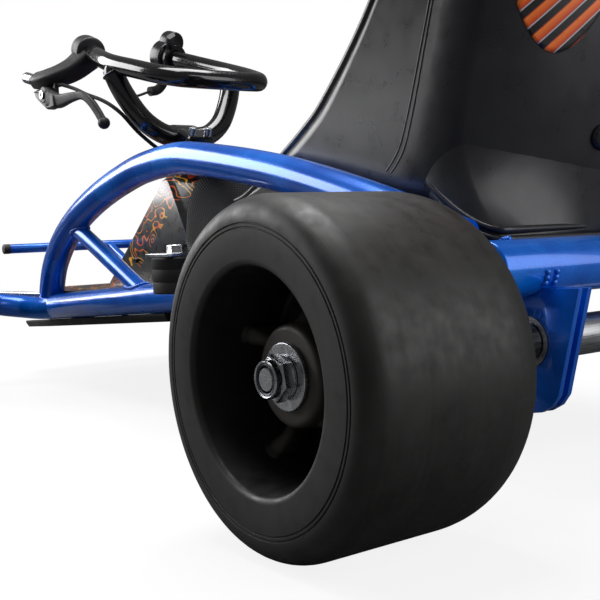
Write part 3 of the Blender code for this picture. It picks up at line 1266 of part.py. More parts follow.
def throttle():
    """The thumb throttle on the handlebar's right arm: its housing, and the paddle that turns in it."""
    spot, back, up, inboard = throttle_frame()
    housing = turned("throttle_housing", cylinder_profile(BAR_R + 0.0115, -0.011, 0.011, 0.002), spot, back,
                     BLACK_PLASTIC, 20)
    crown = turned("tool", cylinder_profile(0.015, -0.009, 0.009, 0.002),
                   spot + up * 0.020 - inboard * 0.004, back, BLACK_PLASTIC, 16)
    tail = swept("tool", smooth_path(throttle_tail(), 0.010), circle(0.0065, 8), BLACK_PLASTIC)
    carve(housing, [crown, tail], "UNION")
    carve(housing, [swept("tool", loop_path(), circle(BAR_R + GAP, 12), BLACK_PAINT)])
    set_origin(housing, column_point(0))

    ring_low, ring_high = 0.0114, 0.0194
    profile = tube_profile(BAR_R + GAP * 2, BAR_R + 0.0075, ring_low, ring_high, 0.001)
    paddle = turned("throttle_paddle", profile, spot, back, BLACK_PLASTIC, 20)
    middle = spot + back * (ring_low + ring_high) / 2
    push = (up * 0.85 + inboard * 0.55).normalized()
    blade = swept("tool", [middle + push * (BAR_R + 0.004), middle + push * (BAR_R + 0.014) + back * 0.004,
                           middle + push * (BAR_R + 0.025) + back * 0.012],
                  rectangle(0.012, 0.0065, 0.002, 1), BLACK_PLASTIC, push.cross(back))
    carve(paddle, [blade], "UNION")
    set_origin(paddle, spot)


# Cables
def brake_cable():
    """From the lever down the left leg and the column, under the seat along the left rail to the caliper."""
    side = HEAD_R + CABLE_R + 0.003
    path = [at(*p) for p in BRAKE_CABLE_TOP]
    path += [column_point(along) + Vector((0, side, 0)) for along in (0.200, 0.170, 0.130)]
    path += [at(*p) for p in BRAKE_CABLE_FLOOR]
    path += [rail_side(x, 30.0, CABLE_R) for x in (0.415, 0.39, 0.35, 0.29, 0.22)]
    path += [at(*p) for p in BRAKE_CABLE_END]
    swept("brake_cable", smooth_path(path, 0.026), circle(CABLE_R, 6), RUBBER)


def rail_side(ahead, degrees, radius):
    """A cable's middle where it lies on the inner side of the left rail, this far up from level."""
    away = RAIL_R + GAP + radius
    turn = math.radians(degrees)
    x = at(ahead, 0, 0).x
    before, after = next(pair for pair in zip(rail_path(), rail_path()[1:]) if pair[1].x >= x)
    middle = before.lerp(after, (x - before.x) / (after.x - before.x))
    return middle + Vector((0, -math.cos(turn), math.sin(turn))) * away


def throttle_lead():
    """From the throttle across to the left leg, down the column's front and along the left rail."""
    front = HEAD_R + LEAD_R + 0.0016
    path = [throttle_tail()[-1] + (throttle_tail()[-1] - throttle_tail()[-2]).normalized() * GAP]
    path += [at(*p) for p in LEAD_TOP]
    path += [column_point(along) + column_forward() * away for along, away in
             ((0.236, 0.0375), (0.212, 0.0375), (0.191, 0.0375), (0.174, front), (0.150, front))]
    path += [at(*p) for p in LEAD_FLOOR]
    path += [rail_side(x, 0.0, LEAD_R + GAP) for x in (0.405, 0.38, 0.35, 0.32, 0.29, 0.265)]
    path += [at(*p) for p in LEAD_END]
    swept("throttle_lead", smooth_path(path, 0.026), circle(LEAD_R, 6), RUBBER)


# Front wheels
def front_wheels():
    for side, sign in SIDES:
        centre = at_front(0, sign * (FRONT_TRACK_OUT - FRONT_TYRE_W / 2), FRONT_AXLE_Z)
        axis = Vector((0, sign, 0))
        half = FRONT_TYRE_W / 2
        rim = FRONT_RIM_R
        profile = [(rim + GAP, -0.020)]
        for k in range(7):
            a = math.radians(-78 + 156 * k / 6)
            radius = rim + 0.012 + (FRONT_TYRE_R - rim - 0.012) * math.cos(a) ** 0.6
            profile.append((radius, half * math.sin(a)))
        profile.append((rim + GAP, 0.020))
        turned("front_tyre_" + side, profile, centre, axis, RUBBER, 28, centre)
        wheel = turned("front_rim_" + side,
                       [(SPINDLE_R + GAP, -0.024), (FRONT_HUB_R, -0.024), (FRONT_HUB_R, -0.006),
                        (rim - 0.008, -0.005), (rim - 0.008, -0.019), (rim, -0.019), (rim, 0.019),
                        (rim - 0.008, 0.019), (rim - 0.008, 0.005), (FRONT_HUB_R, 0.006),
                        (FRONT_HUB_R, 0.024), (SPINDLE_R + GAP, 0.024)], centre, axis, BLACK_PAINT, 28)
        tools = []
        for k in range(4):
            a = 2 * math.pi * (k + 0.5) / 4
            spot = centre + Vector((math.cos(a), 0, math.sin(a))) * (rim + FRONT_HUB_R) * 0.46
            tools.append(rod_tool(spot - axis * 0.03, spot + axis * 0.03, 0.0155, 8))
        carve(wheel, tools)
        set_origin(wheel, centre)


def knuckles():
    """Each knuckle turns on its kingpin and carries a spindle and a steering arm."""
    for side, sign in SIDES:
        y = sign * KINGPIN_Y
        up = Vector((0, 0, 1))
        low, high = YOKE_LOW + YOKE_THICK + GAP, YOKE_HIGH - GAP
        barrel = turned("knuckle_" + side, cylinder_profile(0.0105, low, high), at_front(0, y, 0), up,
                        STEEL, 14)
        start = at_front(0, y, FRONT_AXLE_Z)
        reach = FRONT_TRACK_OUT - FRONT_TYRE_W / 2 - KINGPIN_Y
        inside, outside = reach - FRONT_HUB_HALF - GAP, reach + FRONT_HUB_HALF + GAP
        spindle = turned("tool", [(0, 0.007), (0.009, 0.007), (0.009, inside), (SPINDLE_R, inside),
                                  (SPINDLE_R, outside), (0.0105, outside), (0.0105, outside + 0.007),
                                  (SPINDLE_R, outside + 0.0075), (SPINDLE_R, outside + 0.010),
                                  (0, outside + 0.010)], start, Vector((0, sign, 0)), STEEL, 14)
        arm_top = KNUCKLE_ARM_Z + KNUCKLE_ARM_THICK
        arm = block("tool", at_front(0.004, y - 0.007, KNUCKLE_ARM_Z),
                    at_front(KNUCKLE_ARM + 0.007, y + 0.007, arm_top), STEEL)
        stud = rod_tool(at_front(KNUCKLE_ARM, y, KNUCKLE_ARM_Z + 0.002),
                        at_front(KNUCKLE_ARM, y, arm_top + ROD_EYE_LIFT + ROD_EYE_TALL + 0.001), STUD_R, 12)
        carve(barrel, [spindle, arm, stud], "UNION")
        carve(barrel, [rod_tool(at_front(0, y, 0.08), at_front(0, y, 0.17), KINGPIN_R + GAP, 12)])
        set_origin(barrel, start)


def build():
    frame_tubes()
    steering_support()
    axle_plates()
    ends = rear_axle()
    driven_sprocket(*ends)
    brake_disc(*ends)
    brake_caliper()
    motor()
    drive_chain()
    battery_tray()
    power()
    floor_panel()
    belly_pan()
    console_cover()
    seat_shell()
    seat_frame()
    for side, sign in SIDES:
        belt(sign)
        belt_anchor(side, sign)
        tie_rod(side, sign)
    buckle()
    steering_column()
    handlebar()
    stem_clamp()
    brake_lever()
    throttle()
    brake_cable()
    throttle_lead()
    front_wheels()
    knuckles()


build()
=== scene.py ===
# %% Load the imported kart
import json
import math

import bmesh
import bpy
from mathutils import Matrix, Vector

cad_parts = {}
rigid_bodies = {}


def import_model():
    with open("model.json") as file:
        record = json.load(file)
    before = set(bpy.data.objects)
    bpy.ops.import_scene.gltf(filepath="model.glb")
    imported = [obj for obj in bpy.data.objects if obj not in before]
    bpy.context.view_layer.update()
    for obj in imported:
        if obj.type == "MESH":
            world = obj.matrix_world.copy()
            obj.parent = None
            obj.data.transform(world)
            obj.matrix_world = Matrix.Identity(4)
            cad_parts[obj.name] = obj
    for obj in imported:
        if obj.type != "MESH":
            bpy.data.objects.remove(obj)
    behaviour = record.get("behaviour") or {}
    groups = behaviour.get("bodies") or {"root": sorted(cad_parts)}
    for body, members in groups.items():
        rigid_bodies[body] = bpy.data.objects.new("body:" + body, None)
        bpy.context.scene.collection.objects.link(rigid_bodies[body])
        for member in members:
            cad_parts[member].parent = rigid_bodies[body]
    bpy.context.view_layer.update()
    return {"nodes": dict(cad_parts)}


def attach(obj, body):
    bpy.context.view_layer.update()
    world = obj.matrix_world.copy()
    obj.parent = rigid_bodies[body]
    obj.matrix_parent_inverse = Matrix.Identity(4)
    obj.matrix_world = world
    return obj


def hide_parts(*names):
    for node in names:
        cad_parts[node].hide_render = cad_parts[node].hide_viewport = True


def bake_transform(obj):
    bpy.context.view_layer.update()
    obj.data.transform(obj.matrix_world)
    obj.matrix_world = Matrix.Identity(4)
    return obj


for old in list(bpy.data.objects):
    bpy.data.objects.remove(old)
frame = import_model()
AXLE_BACK, AXLE_HEIGHT = 0.4135, 0.100       # the rear axle's line, behind the middle and above the floor

# %% [markdown]
# The camera comes first, because every later choice is judged through it. The kart is seen from low
# behind its left rear wheel. A camera could be aimed with a constraint, but a plain matrix made from three
# directions says exactly where it looks and needs nothing else in the scene.

# %% Camera
CAMERA_SPOT, CAMERA_LOOK = (-0.8565, 0.6269, 0.1789), Vector((0.8070, -0.5865, -0.0687))
CAMERA_RIGHT, CAMERA_UP = Vector((-0.5896, -0.8065, -0.0413)), Vector((0.0312, -0.0738, 0.9966))
LENS_MM, SENSOR_MM = 60.0, 36.0
turn = Matrix((CAMERA_RIGHT, CAMERA_UP, -CAMERA_LOOK)).transposed().to_4x4()
camera = bpy.data.objects.new("camera", bpy.data.cameras.new("camera"))
camera.matrix_world = Matrix.Translation(CAMERA_SPOT) @ turn
camera.data.lens, camera.data.sensor_width = LENS_MM, SENSOR_MM
camera.data.clip_start = 0.01
bpy.context.collection.objects.link(camera)
scene = bpy.context.scene
scene.camera = camera
scene.view_settings.view_transform = "Standard"
print("camera at", tuple(round(v, 3) for v in camera.matrix_world.translation))

# %% [markdown]
# A few small helpers serve all materials. Colours are written as the sRGB hex values a designer would pick,
# and one function turns them to the linear values that the renderer works in. Another adds one node and
# gives its inputs a value or a link, so a material reads like a list. The rest are patterns that recur:
# noise of a size in millimetres, a ramp, a range, a relief.


# %% Colour and node helpers
def linear(colour):
    """Linear RGBA from an sRGB hex value."""
    parts = [int(colour[k:k + 2], 16) / 255 for k in (1, 3, 5)]
    return (*(v / 12.92 if v <= 0.04045 else ((v + 0.055) / 1.055) ** 2.4 for v in parts), 1.0)


def add(tree, kind, inputs=None, **settings):
    """Add a node with its settings; inputs holds values or sockets to link."""
    node = tree.nodes.new(kind)
    for name, value in settings.items():
        setattr(node, name, value)
    for name, value in (inputs or {}).items():
        if isinstance(value, bpy.types.NodeSocket):
            tree.links.new(value, node.inputs[name])
        else:
            node.inputs[name].default_value = value
    return node


def shaded(name, **constants):
    """A new material with constants on its shader's own sockets."""
    made = bpy.data.materials.new(name)
    made.use_nodes = True
    shader = made.node_tree.nodes["Principled BSDF"]
    for socket, value in constants.items():
        shader.inputs[socket.replace("_", " ")].default_value = value
    return made, made.node_tree, shader


def grain(tree, coordinates, size_mm, detail=3.0, rough=0.5, stretch=None):
    """Noise whose blotches measure about size_mm on the object, stretched where asked."""
    if stretch:
        coordinates = add(tree, "ShaderNodeMapping", {"Vector": coordinates, "Scale": stretch}).outputs[0]
    return add(tree, "ShaderNodeTexNoise", {"Vector": coordinates, "Scale": 1000.0 / size_mm,
                                            "Detail": detail, "Roughness": rough}).outputs["Fac"]


def ramp(tree, value, *stops):
    """A colour ramp from (position, colour) stops."""
    node = add(tree, "ShaderNodeValToRGB", {"Fac": value})
    elements = node.color_ramp.elements
    elements.remove(elements[1])
    elements[0].position, elements[0].color = stops[0][0], linear(stops[0][1])
    for spot, colour in stops[1:]:
        elements.new(spot).color = linear(colour)
    return node.outputs[0]


def spread(tree, value, low, high, from_low=0.3, from_high=0.7):
    """Take a pattern's middle range to a roughness or height range."""
    return add(tree, "ShaderNodeMapRange", {"Value": value, "From Min": from_low, "From Max": from_high,
                                            "To Min": low, "To Max": high}).outputs[0]


def bumped(tree, shader, height, depth_mm, strength=1.0):
    """Give a shader relief of a depth in millimetres."""
    node = add(tree, "ShaderNodeBump", {"Height": height, "Distance": depth_mm / 1000, "Strength": strength})
    tree.links.new(node.outputs[0], shader.inputs["Normal"])


def mixed(tree, factor, first, second):
    """Mix two colours, each a socket or an sRGB hex value."""
    node = add(tree, "ShaderNodeMix", data_type="RGBA")
    for index, value in ((0, factor), (6, first), (7, second)):
        if isinstance(value, bpy.types.NodeSocket):
            tree.links.new(value, node.inputs[index])
        else:
            node.inputs[index].default_value = linear(value) if isinstance(value, str) else value
    return node.outputs[2]


def dressed(tree, shader, colour, roughness):
    """Link a colour and a roughness pattern to a shader."""
    tree.links.new(colour, shader.inputs["Base Color"])
    tree.links.new(roughness, shader.inputs["Roughness"])


def object_space(tree):
    return add(tree, "ShaderNodeTexCoord").outputs["Object"]


def axle_radius(tree, place):
    """The distance from the rear axle's line, for patterns that run round it."""
    centred = add(tree, "ShaderNodeMapping",
                  {"Vector": place, "Location": (AXLE_BACK, 0, -AXLE_HEIGHT)}).outputs[0]
    flat = add(tree, "ShaderNodeVectorMath", {0: centred, 1: (1, 0, 1)}, operation="MULTIPLY").outputs[0]
    return add(tree, "ShaderNodeVectorMath", {0: flat}, operation="LENGTH").outputs["Value"]


print("linear #808080 =", round(linear("#808080")[0], 4))

# %% [markdown]
# The frame's blue is a metallic stove enamel: fine flakes under a clear coat. A plain glossy blue would miss
# the deep shade on the undersides, so the base is a third metallic with a small flake pattern, and the coat
# carries the sharp highlights. Real flakes are 0.05 mm; they are drawn at 0.8 mm so that they show at all.


# %% Paints
def metallic_blue_enamel():
    made, tree, shader = shaded("metallic_blue_stove_enamel", Metallic=0.3, Coat_Weight=0.55,
                                Coat_Roughness=0.03)
    place = object_space(tree)
    flakes = grain(tree, place, 0.8, 1.0)
    cloud = grain(tree, place, 45.0, 2.0)
    both = add(tree, "ShaderNodeMath", {0: flakes, 1: 0.4, 2: cloud}, operation="MULTIPLY_ADD").outputs[0]
    dressed(tree, shader, ramp(tree, spread(tree, both, 0, 1, 0.5, 0.9), (0.0, "#0056C4"), (0.55, "#0068DC"),
                               (1.0, "#087CF0")), spread(tree, cloud, 0.22, 0.30))
    bumped(tree, shader, grain(tree, place, 9.0, 1.0), 0.02, 0.2)
    return made


def black_enamel(name, low, high, colour):
    made, tree, shader = shaded(name, Coat_Weight=0.6, Coat_Roughness=0.06)
    place = object_space(tree)
    peel = grain(tree, place, 3.0, 2.0)
    dressed(tree, shader, ramp(tree, grain(tree, place, 30.0), (0.3, colour), (0.75, "#17171A")),
            spread(tree, peel, low, high))
    bumped(tree, shader, peel, 0.02, 0.3)
    return made


BLUE = metallic_blue_enamel()
GLOSS_BLACK = black_enamel("gloss_black_stove_enamel", 0.10, 0.22, "#0B0B0D")
SATIN_BLACK = black_enamel("satin_black_powder_coat", 0.34, 0.5, "#101012")
print("paints:", BLUE.name, GLOSS_BLACK.name, SATIN_BLACK.name)

# %% [markdown]
# Bare metals differ mostly in how their surface was made. Bright zinc plating is smooth with a cool tint and
# faint spangle, drawn steel has lines along the bar, turned steel has rings, and a casting is grey and
# pitted. So the last three share one recipe, and each brings its own pattern.


# %% Metals
def zinc_plate():
    made, tree, shader = shaded("bright_zinc_plate", Metallic=1.0)
    place = object_space(tree)
    dressed(tree, shader, ramp(tree, grain(tree, place, 6.0, 4.0), (0.3, "#9EA1A6"), (0.7, "#D4D6DA")),
            spread(tree, grain(tree, place, 1.5, 3.0), 0.16, 0.34))
    bumped(tree, shader, grain(tree, place, 0.9, 2.0), 0.02, 0.3)
    return made


def bare_metal(name, pattern, dark, light, low, high, depth_mm, strength, metallic=1.0):
    """A metal whose colour, gloss and relief follow the one pattern that its making leaves."""
    made, tree, shader = shaded(name, Metallic=metallic)
    marks = pattern(tree, object_space(tree))
    dressed(tree, shader, ramp(tree, marks, (0.3, dark), (0.7, light)), spread(tree, marks, low, high))
    bumped(tree, shader, marks, depth_mm, strength)
    return made


def drawing_lines(tree, place):
    return grain(tree, place, 1.0, 4.0, 0.6, (1.0, 0.04, 1.0))


def lathe_rings(tree, place):
    """Rings about the rear axle's line, as a disc or sprocket has from the lathe."""
    grown_radius = add(tree, "ShaderNodeMath", {0: axle_radius(tree, place), 1: 1400.0},
                       operation="MULTIPLY").outputs[0]
    return add(tree, "ShaderNodeTexNoise", {"W": grown_radius, "Scale": 1.0},
               noise_dimensions="1D").outputs["Fac"]


def casting_pits(tree, place):
    return grain(tree, place, 1.1, 5.0, 0.65)


ZINC = zinc_plate()
STEEL = bare_metal("drawn_steel", drawing_lines, "#8C8D90", "#C2C3C6", 0.25, 0.42, 0.015, 0.4)
TURNED = bare_metal("turned_steel", lathe_rings, "#7F8083", "#B9BABD", 0.22, 0.38, 0.02, 0.5)
CAST = bare_metal("sand_cast_alloy", casting_pits, "#6F7072", "#9A9B9D", 0.42, 0.6, 0.12, 0.6, 0.9)
print("metals:", ZINC.name, STEEL.name, TURNED.name, CAST.name)

# %% [markdown]
# The plastics and rubbers take their character from the mould: a fine spark-eroded grain, slightly uneven
# gloss, and pale scuffs where they rub. One recipe with three sizes does for all of them: grain, cloud and
# scuffs. Each gets its own colours, gloss and depth.


# %% Plastics and rubbers
def moulded(name, dark, light, low, high, grain_mm=0.9, depth_mm=0.05, scuffs=0.0, specular=0.5):
    made, tree, shader = shaded(name, Specular_IOR_Level=specular)
    place = object_space(tree)
    colour = ramp(tree, grain(tree, place, 38.0, 4.0), (0.25, dark), (0.8, light))
    if scuffs:
        marks = spread(tree, grain(tree, place, 5.0, 6.0, 0.7, (0.35, 0.35, 1.6)), 0.0, scuffs, 0.62, 0.78)
        colour = mixed(tree, marks, colour, "#86847F")
    dressed(tree, shader, colour, spread(tree, grain(tree, place, 14.0, 4.0), low, high))
    bumped(tree, shader, grain(tree, place, grain_mm, 2.0), depth_mm, 0.5)
    return made


SEAT_PLASTIC = moulded("rotomoulded_polyethylene_seat", "#1C1C20", "#29292E", 0.26, 0.36, 1.1, 0.05, 0.08)
BLACK_NYLON = moulded("black_glass_filled_nylon", "#141416", "#222225", 0.42, 0.58, 0.8, 0.05)
SATIN_NYLON = moulded("satin_black_abs", "#101013", "#1B1B1F", 0.22, 0.34, 1.2, 0.03)
BLACK_PE = moulded("black_polyethylene_pan", "#0B0B0D", "#151517", 0.5, 0.66, 1.2, 0.06, 0.05, 0.35)
RUBBER = moulded("black_moulded_rubber", "#1B1A1B", "#2B2A2B", 0.62, 0.82, 0.7, 0.06, 0.0, 0.35)
TYRE = moulded("tyre_rubber", "#1A1918", "#2A2826", 0.66, 0.86, 0.9, 0.07, 0.12, 0.3)
RED_ABS = moulded("red_abs", "#A11210", "#C41B16", 0.25, 0.36, 1.0, 0.03)
RING_NYLON = moulded("blue_black_nylon_ring", "#161A2A", "#232A44", 0.35, 0.5, 1.0, 0.03)
print("plastics made, seat grain 1.1 mm")

# %% [markdown]
# The slider wheels are hard polyethylene, turned after moulding. Sliding wears their tread to a paler,
# streaked brown grey, while the side face stays charcoal. The material reads the distance from the axle's
# line, so the tread streaks run round the wheel, and it paints shade into the dish and a highlight on the
# tops of its webs, without a second material.


# %% Slider wheel plastic
def slider_plastic():
    made, tree, shader = shaded("turned_hard_polyethylene", Specular_IOR_Level=0.45)
    place = object_space(tree)
    sideways = add(tree, "ShaderNodeSeparateXYZ", {"Vector": place}).outputs["Y"]
    radius = axle_radius(tree, place)
    face = ramp(tree, grain(tree, place, 22.0, 5.0), (0.3, "#191817"), (0.75, "#252423"))
    streak = add(tree, "ShaderNodeTexNoise",
                 {"W": add(tree, "ShaderNodeMath", {0: sideways, 1: 300.0}, operation="MULTIPLY").outputs[0],
                  "Scale": 1.0, "Detail": 4.0}, noise_dimensions="1D").outputs["Fac"]
    blotch = grain(tree, place, 26.0, 6.0, 0.6)
    rubbed = add(tree, "ShaderNodeMath", {0: streak, 1: 0.3, 2: blotch}, operation="MULTIPLY_ADD").outputs[0]
    tread = ramp(tree, spread(tree, rubbed, 0, 1, 0.45, 0.85), (0.1, "#171615"), (0.9, "#262423"))
    colour = mixed(tree, spread(tree, radius, 0.0, 1.0, 0.0965, 0.0985), face, tread)
    # Painted shade: inside 58 mm from the axle the dish is coloured near black.
    colour = mixed(tree, spread(tree, radius, 1.0, 0.0, 0.058, 0.0625), colour, "#0B0B0B")
    outward = add(tree, "ShaderNodeMath", {0: sideways}, operation="ABSOLUTE").outputs[0]
    # Painted highlight: the tops of the webs near the outer face get a paler colour.
    painted_web_highlight = add(tree, "ShaderNodeMath", {0: spread(tree, radius, 1.0, 0.0, 0.056, 0.058),
                                           1: spread(tree, outward, 0.0, 1.0, 0.284, 0.298)},
                  operation="MULTIPLY").outputs[0]
    dressed(tree, shader, mixed(tree, painted_web_highlight, colour, "#3A3733"),
            spread(tree, grain(tree, place, 9.0, 5.0), 0.42, 0.62))
    rings = add(tree, "ShaderNodeMath", {0: radius, 1: 5200.0}, operation="MULTIPLY").outputs[0]
    rings = add(tree, "ShaderNodeMath", {0: rings}, operation="SINE").outputs[0]
    height = add(tree, "ShaderNodeMath", {0: rings, 1: 0.12, 2: grain(tree, place, 1.2, 3.0)},
                 operation="MULTIPLY_ADD").outputs[0]
    bumped(tree, shader, height, 0.06, 0.5)
    return made


WHEEL = slider_plastic()
print("wheel plastic:", WHEEL.name)

# %% [markdown]
# Seat belt webbing is woven polyester with ribs across its width. The pattern follows the strap's own UV
# map, whose units are metres, so it stays put where the strap bends. Real ribs are 1.2 mm apart; they are
# drawn at 1.5 mm so that they show.


# %% Webbing
def polyester_webbing():
    made, tree, shader = shaded("woven_polyester_webbing", Sheen_Weight=0.35, Sheen_Roughness=0.5,
                                Specular_IOR_Level=0.3)
    uv = add(tree, "ShaderNodeUVMap", uv_map="strap").outputs[0]
    parts = add(tree, "ShaderNodeSeparateXYZ", {"Vector": uv}).outputs
    waves = []
    for socket, pitch in ((parts["Y"], 1.5), (parts["X"], 2.4)):
        grown = add(tree, "ShaderNodeMath", {0: socket, 1: 2 * math.pi * 1000 / pitch},
                    operation="MULTIPLY").outputs[0]
        waves.append(add(tree, "ShaderNodeMath", {0: grown}, operation="SINE").outputs[0])
    weave = add(tree, "ShaderNodeMath", {0: waves[1], 1: 0.35, 2: waves[0]},
                operation="MULTIPLY_ADD").outputs[0]
    dressed(tree, shader, ramp(tree, spread(tree, weave, 0, 1, -1, 1), (0.1, "#0C0C0E"), (0.9, "#26262A")),
            spread(tree, weave, 0.8, 0.62, -1, 1))
    bumped(tree, shader, weave, 0.25, 0.7)
    return made


WEBBING = polyester_webbing()
print("webbing:", WEBBING.name)

# %% [markdown]
# The console and the foot panel carry a printed film: thin orange, red and yellow contour lines on black,
# like a heat map. It is drawn as the level lines of a smooth noise field, which is a generic pattern.
# The seat's back carries a plain decal of slanting bars in the same colours, made in the same way.


# %% Printed films
SLOPE_X, SLOPE_Z = 0.616, 0.788              # the way that the cover's front slope faces
SLOPE_TOP = (0.2305, 0.252)                  # the slope's upper end, as x and z
BAR_PITCH = 0.016


def contour_print(name, spacing_mm, sloping=False):
    """Contour lines; a sloping print covers only the 45 mm behind the cover's front slope."""
    made, tree, shader = shaded(name, Coat_Weight=0.5, Coat_Roughness=0.12)
    place = object_space(tree)
    field = grain(tree, place, spacing_mm, 1.5, 0.45, (1.0, 0.6, 1.2))
    levels = add(tree, "ShaderNodeMath", {0: field, 1: 84.0}, operation="MULTIPLY").outputs[0]
    wave = add(tree, "ShaderNodeMath", {0: levels}, operation="SINE").outputs[0]
    line = spread(tree, wave, 0.0, 1.0, 0.72, 0.86)
    patch = spread(tree, grain(tree, place, 70.0, 1.0), 0.0, 1.0, 0.40, 0.5)
    line = add(tree, "ShaderNodeMath", {0: line, 1: patch}, operation="MULTIPLY").outputs[0]
    if sloping:
        depth = add(tree, "ShaderNodeVectorMath", {0: place, 1: (SLOPE_X, 0, SLOPE_Z)},
                    operation="DOT_PRODUCT").outputs["Value"]
        edge = SLOPE_X * SLOPE_TOP[0] + SLOPE_Z * SLOPE_TOP[1] - 0.045
        band = spread(tree, depth, 0.0, 1.0, edge - 0.001, edge + 0.001)
        line = add(tree, "ShaderNodeMath", {0: line, 1: band}, operation="MULTIPLY").outputs[0]
    inks = ramp(tree, grain(tree, place, 34.0, 1.0), (0.36, "#B3170B"), (0.5, "#E8590C"), (0.64, "#F5B51E"))
    dressed(tree, shader, mixed(tree, line, "#101012", inks),
            spread(tree, grain(tree, place, 12.0), 0.24, 0.36))
    bumped(tree, shader, grain(tree, place, 2.0), 0.02, 0.3)
    return made


def bar_decal():
    """Slanting bars on both sides of the middle: orange with pale edges on black."""
    made, tree, shader = shaded("bar_print_vinyl", Coat_Weight=0.5, Coat_Roughness=0.1)
    place = object_space(tree)
    parts = add(tree, "ShaderNodeSeparateXYZ", {"Vector": place}).outputs
    aside = add(tree, "ShaderNodeMath", {0: parts["Y"]}, operation="ABSOLUTE").outputs[0]
    slant = add(tree, "ShaderNodeMath", {0: parts["Z"], 1: 0.9, 2: aside},
                operation="MULTIPLY_ADD").outputs[0]
    phase = add(tree, "ShaderNodeMath", {0: slant, 1: 1 / BAR_PITCH}, operation="MULTIPLY").outputs[0]
    wave = add(tree, "ShaderNodeMath", {0: phase}, operation="FRACT").outputs[0]
    inks = ramp(tree, wave, (0.0, "#17171A"), (0.26, "#17171A"), (0.28, "#BCBAC2"), (0.34, "#BCBAC2"),
                (0.36, "#D23A1C"), (0.56, "#F2691F"), (0.80, "#FF8A3A"), (0.84, "#D9503A"), (0.90, "#17171A"))
    dressed(tree, shader, inks, spread(tree, grain(tree, place, 12.0), 0.25, 0.36))
    return made


CONTOUR, DECAL = contour_print("contour_print_film", 46.0), bar_decal()
COVER_PRINT = contour_print("contour_print_on_cover", 40.0, True)
print("films:", CONTOUR.name, COVER_PRINT.name, DECAL.name)

# %% [markdown]
# Every new piece is made from a few kinds of shell: a profile turned about a line, an outline swept along a
# path, a plate and a block. Each helper returns plain vertices and faces; one function joins shells to an
# object, points the faces outwards and smooths them up to an angle. Lathing and sweeping in mesh code keeps
# every size the same as the solid's.


# %% Shells
AHEAD, ACROSS, UP = Vector((1, 0, 0)), Vector((0, 1, 0)), Vector((0, 0, 1))


def at(ahead, y, z):
    """A point by its distance ahead of the rear axle."""
    return Vector((ahead - AXLE_BACK, y, z))


def spots_at(*places):
    return [at(*place) for place in places]


def turns(count, start=0.0):
    """Angles at even steps round a circle."""
    return [start + 2 * math.pi * k / count for k in range(count)]


def spoke(angle, radius):
    """A step away from a wheel's axle."""
    return Vector((radius * math.cos(angle), 0, radius * math.sin(angle)))


def arc(centre, radii, low, high, steps):
    """Points of an ellipse between two angles in degrees."""
    angles = [math.radians(low + (high - low) * k / steps) for k in range(steps + 1)]
    return [(centre[0] + radii[0] * math.cos(a), centre[1] + radii[1] * math.sin(a)) for a in angles]


def basis(axis):
    axis = axis.normalized()
    side = UP if abs(axis.z) < 0.9 else AHEAD
    first = (side - axis * side.dot(axis)).normalized()
    return axis, first, axis.cross(first)


def rings_to_shell(rings, cap=True):
    count = len(rings[0])
    faces = [(r * count + k, r * count + (k + 1) % count, (r + 1) * count + (k + 1) % count,
              (r + 1) * count + k) for r in range(len(rings) - 1) for k in range(count)]
    if cap:
        faces += [tuple(range(count)), tuple(range((len(rings) - 1) * count, len(rings) * count))]
    return [point for ring in rings for point in ring], faces


def rounded(outline, radius, steps=3, poles=False):
    """Round the corners of a closed outline; with poles, points on the axis stay."""
    result = []
    for k, here in enumerate(outline):
        here, before, after = Vector(here), Vector(outline[k - 1]), Vector(outline[(k + 1) % len(outline)])
        if poles and here.x < 1e-6:
            result.append(tuple(here))
            continue
        first, second = before - here, after - here
        cut = min(radius, first.length * 0.45, second.length * 0.45)
        first, second = here + first.normalized() * cut, here + second.normalized() * cut
        for s in range(steps + 1):
            t = s / steps
            result.append(tuple(first * (1 - t) ** 2 + here * 2 * t * (1 - t) + second * t * t))
    return result


def lathe(profile, centre, axis, sides=64, edge=0.0, start=0.0):
    """Turn a closed (radius, height) profile about an axis."""
    if edge:
        profile = rounded(profile, edge, 3, True)
    axis, first, second = basis(axis)
    rings = [[centre + axis * h + (first * math.cos(a) + second * math.sin(a)) * r
              for a in turns(sides, start)] for r, h in profile]
    return rings_to_shell(rings + [rings[0]], False)


def cylinder(radius, low, high):
    return [(0, low), (radius, low), (radius, high), (0, high)]


def pipe(inner, outer, low, high):
    return [(inner, low), (outer, low), (outer, high), (inner, high)]


def circle(radius, sides=32):
    return [(radius * math.cos(a), radius * math.sin(a)) for a in turns(sides)]


def rectangle(width, height, corner=0.0, steps=4):
    square = [(width / 2, height / 2), (-width / 2, height / 2), (-width / 2, -height / 2),
              (width / 2, -height / 2)]
    return rounded(square, corner, steps) if corner else square


def smooth_path(points, step=0.008):
    """Points along a smooth curve through the given ones."""
    points = [Vector(p) for p in points]
    ends = [points[0] * 2 - points[1]] + points + [points[-1] * 2 - points[-2]]
    path = []
    for before, here, there, after in zip(ends, ends[1:], ends[2:], ends[3:]):
        count = max(1, round((there - here).length / step))
        for k in range(count):
            t = k / count
            path.append(0.5 * (2 * here + (there - before) * t
                               + (2 * before - 5 * here + 4 * there - after) * t * t
                               + (3 * here - before - 3 * there + after) * t ** 3))
    path.append(points[-1])
    return path


def sweep(path, outline, side=None, cap=True, sizes=None):
    """Sweep an outline along a path; its first direction follows side where that is given."""
    path = [Vector(p) for p in path]
    tangents = [(path[min(k + 1, len(path) - 1)] - path[max(k - 1, 0)]).normalized()
                for k in range(len(path))]
    across = side or basis(tangents[0])[1]
    rings = []
    for k, (point, tangent) in enumerate(zip(path, tangents)):
        across = (across - tangent * across.dot(tangent)).normalized()
        other = tangent.cross(across)
        size = sizes[k] if sizes else 1.0
        rings.append([point + (across * u + other * v) * size for u, v in outline])
    return rings_to_shell(rings, cap)


def rod(start, end, radius, sides=32, edge=0.0006):
    start, end = Vector(start), Vector(end)
    return lathe(cylinder(radius, 0, (end - start).length), start, end - start, sides, edge)


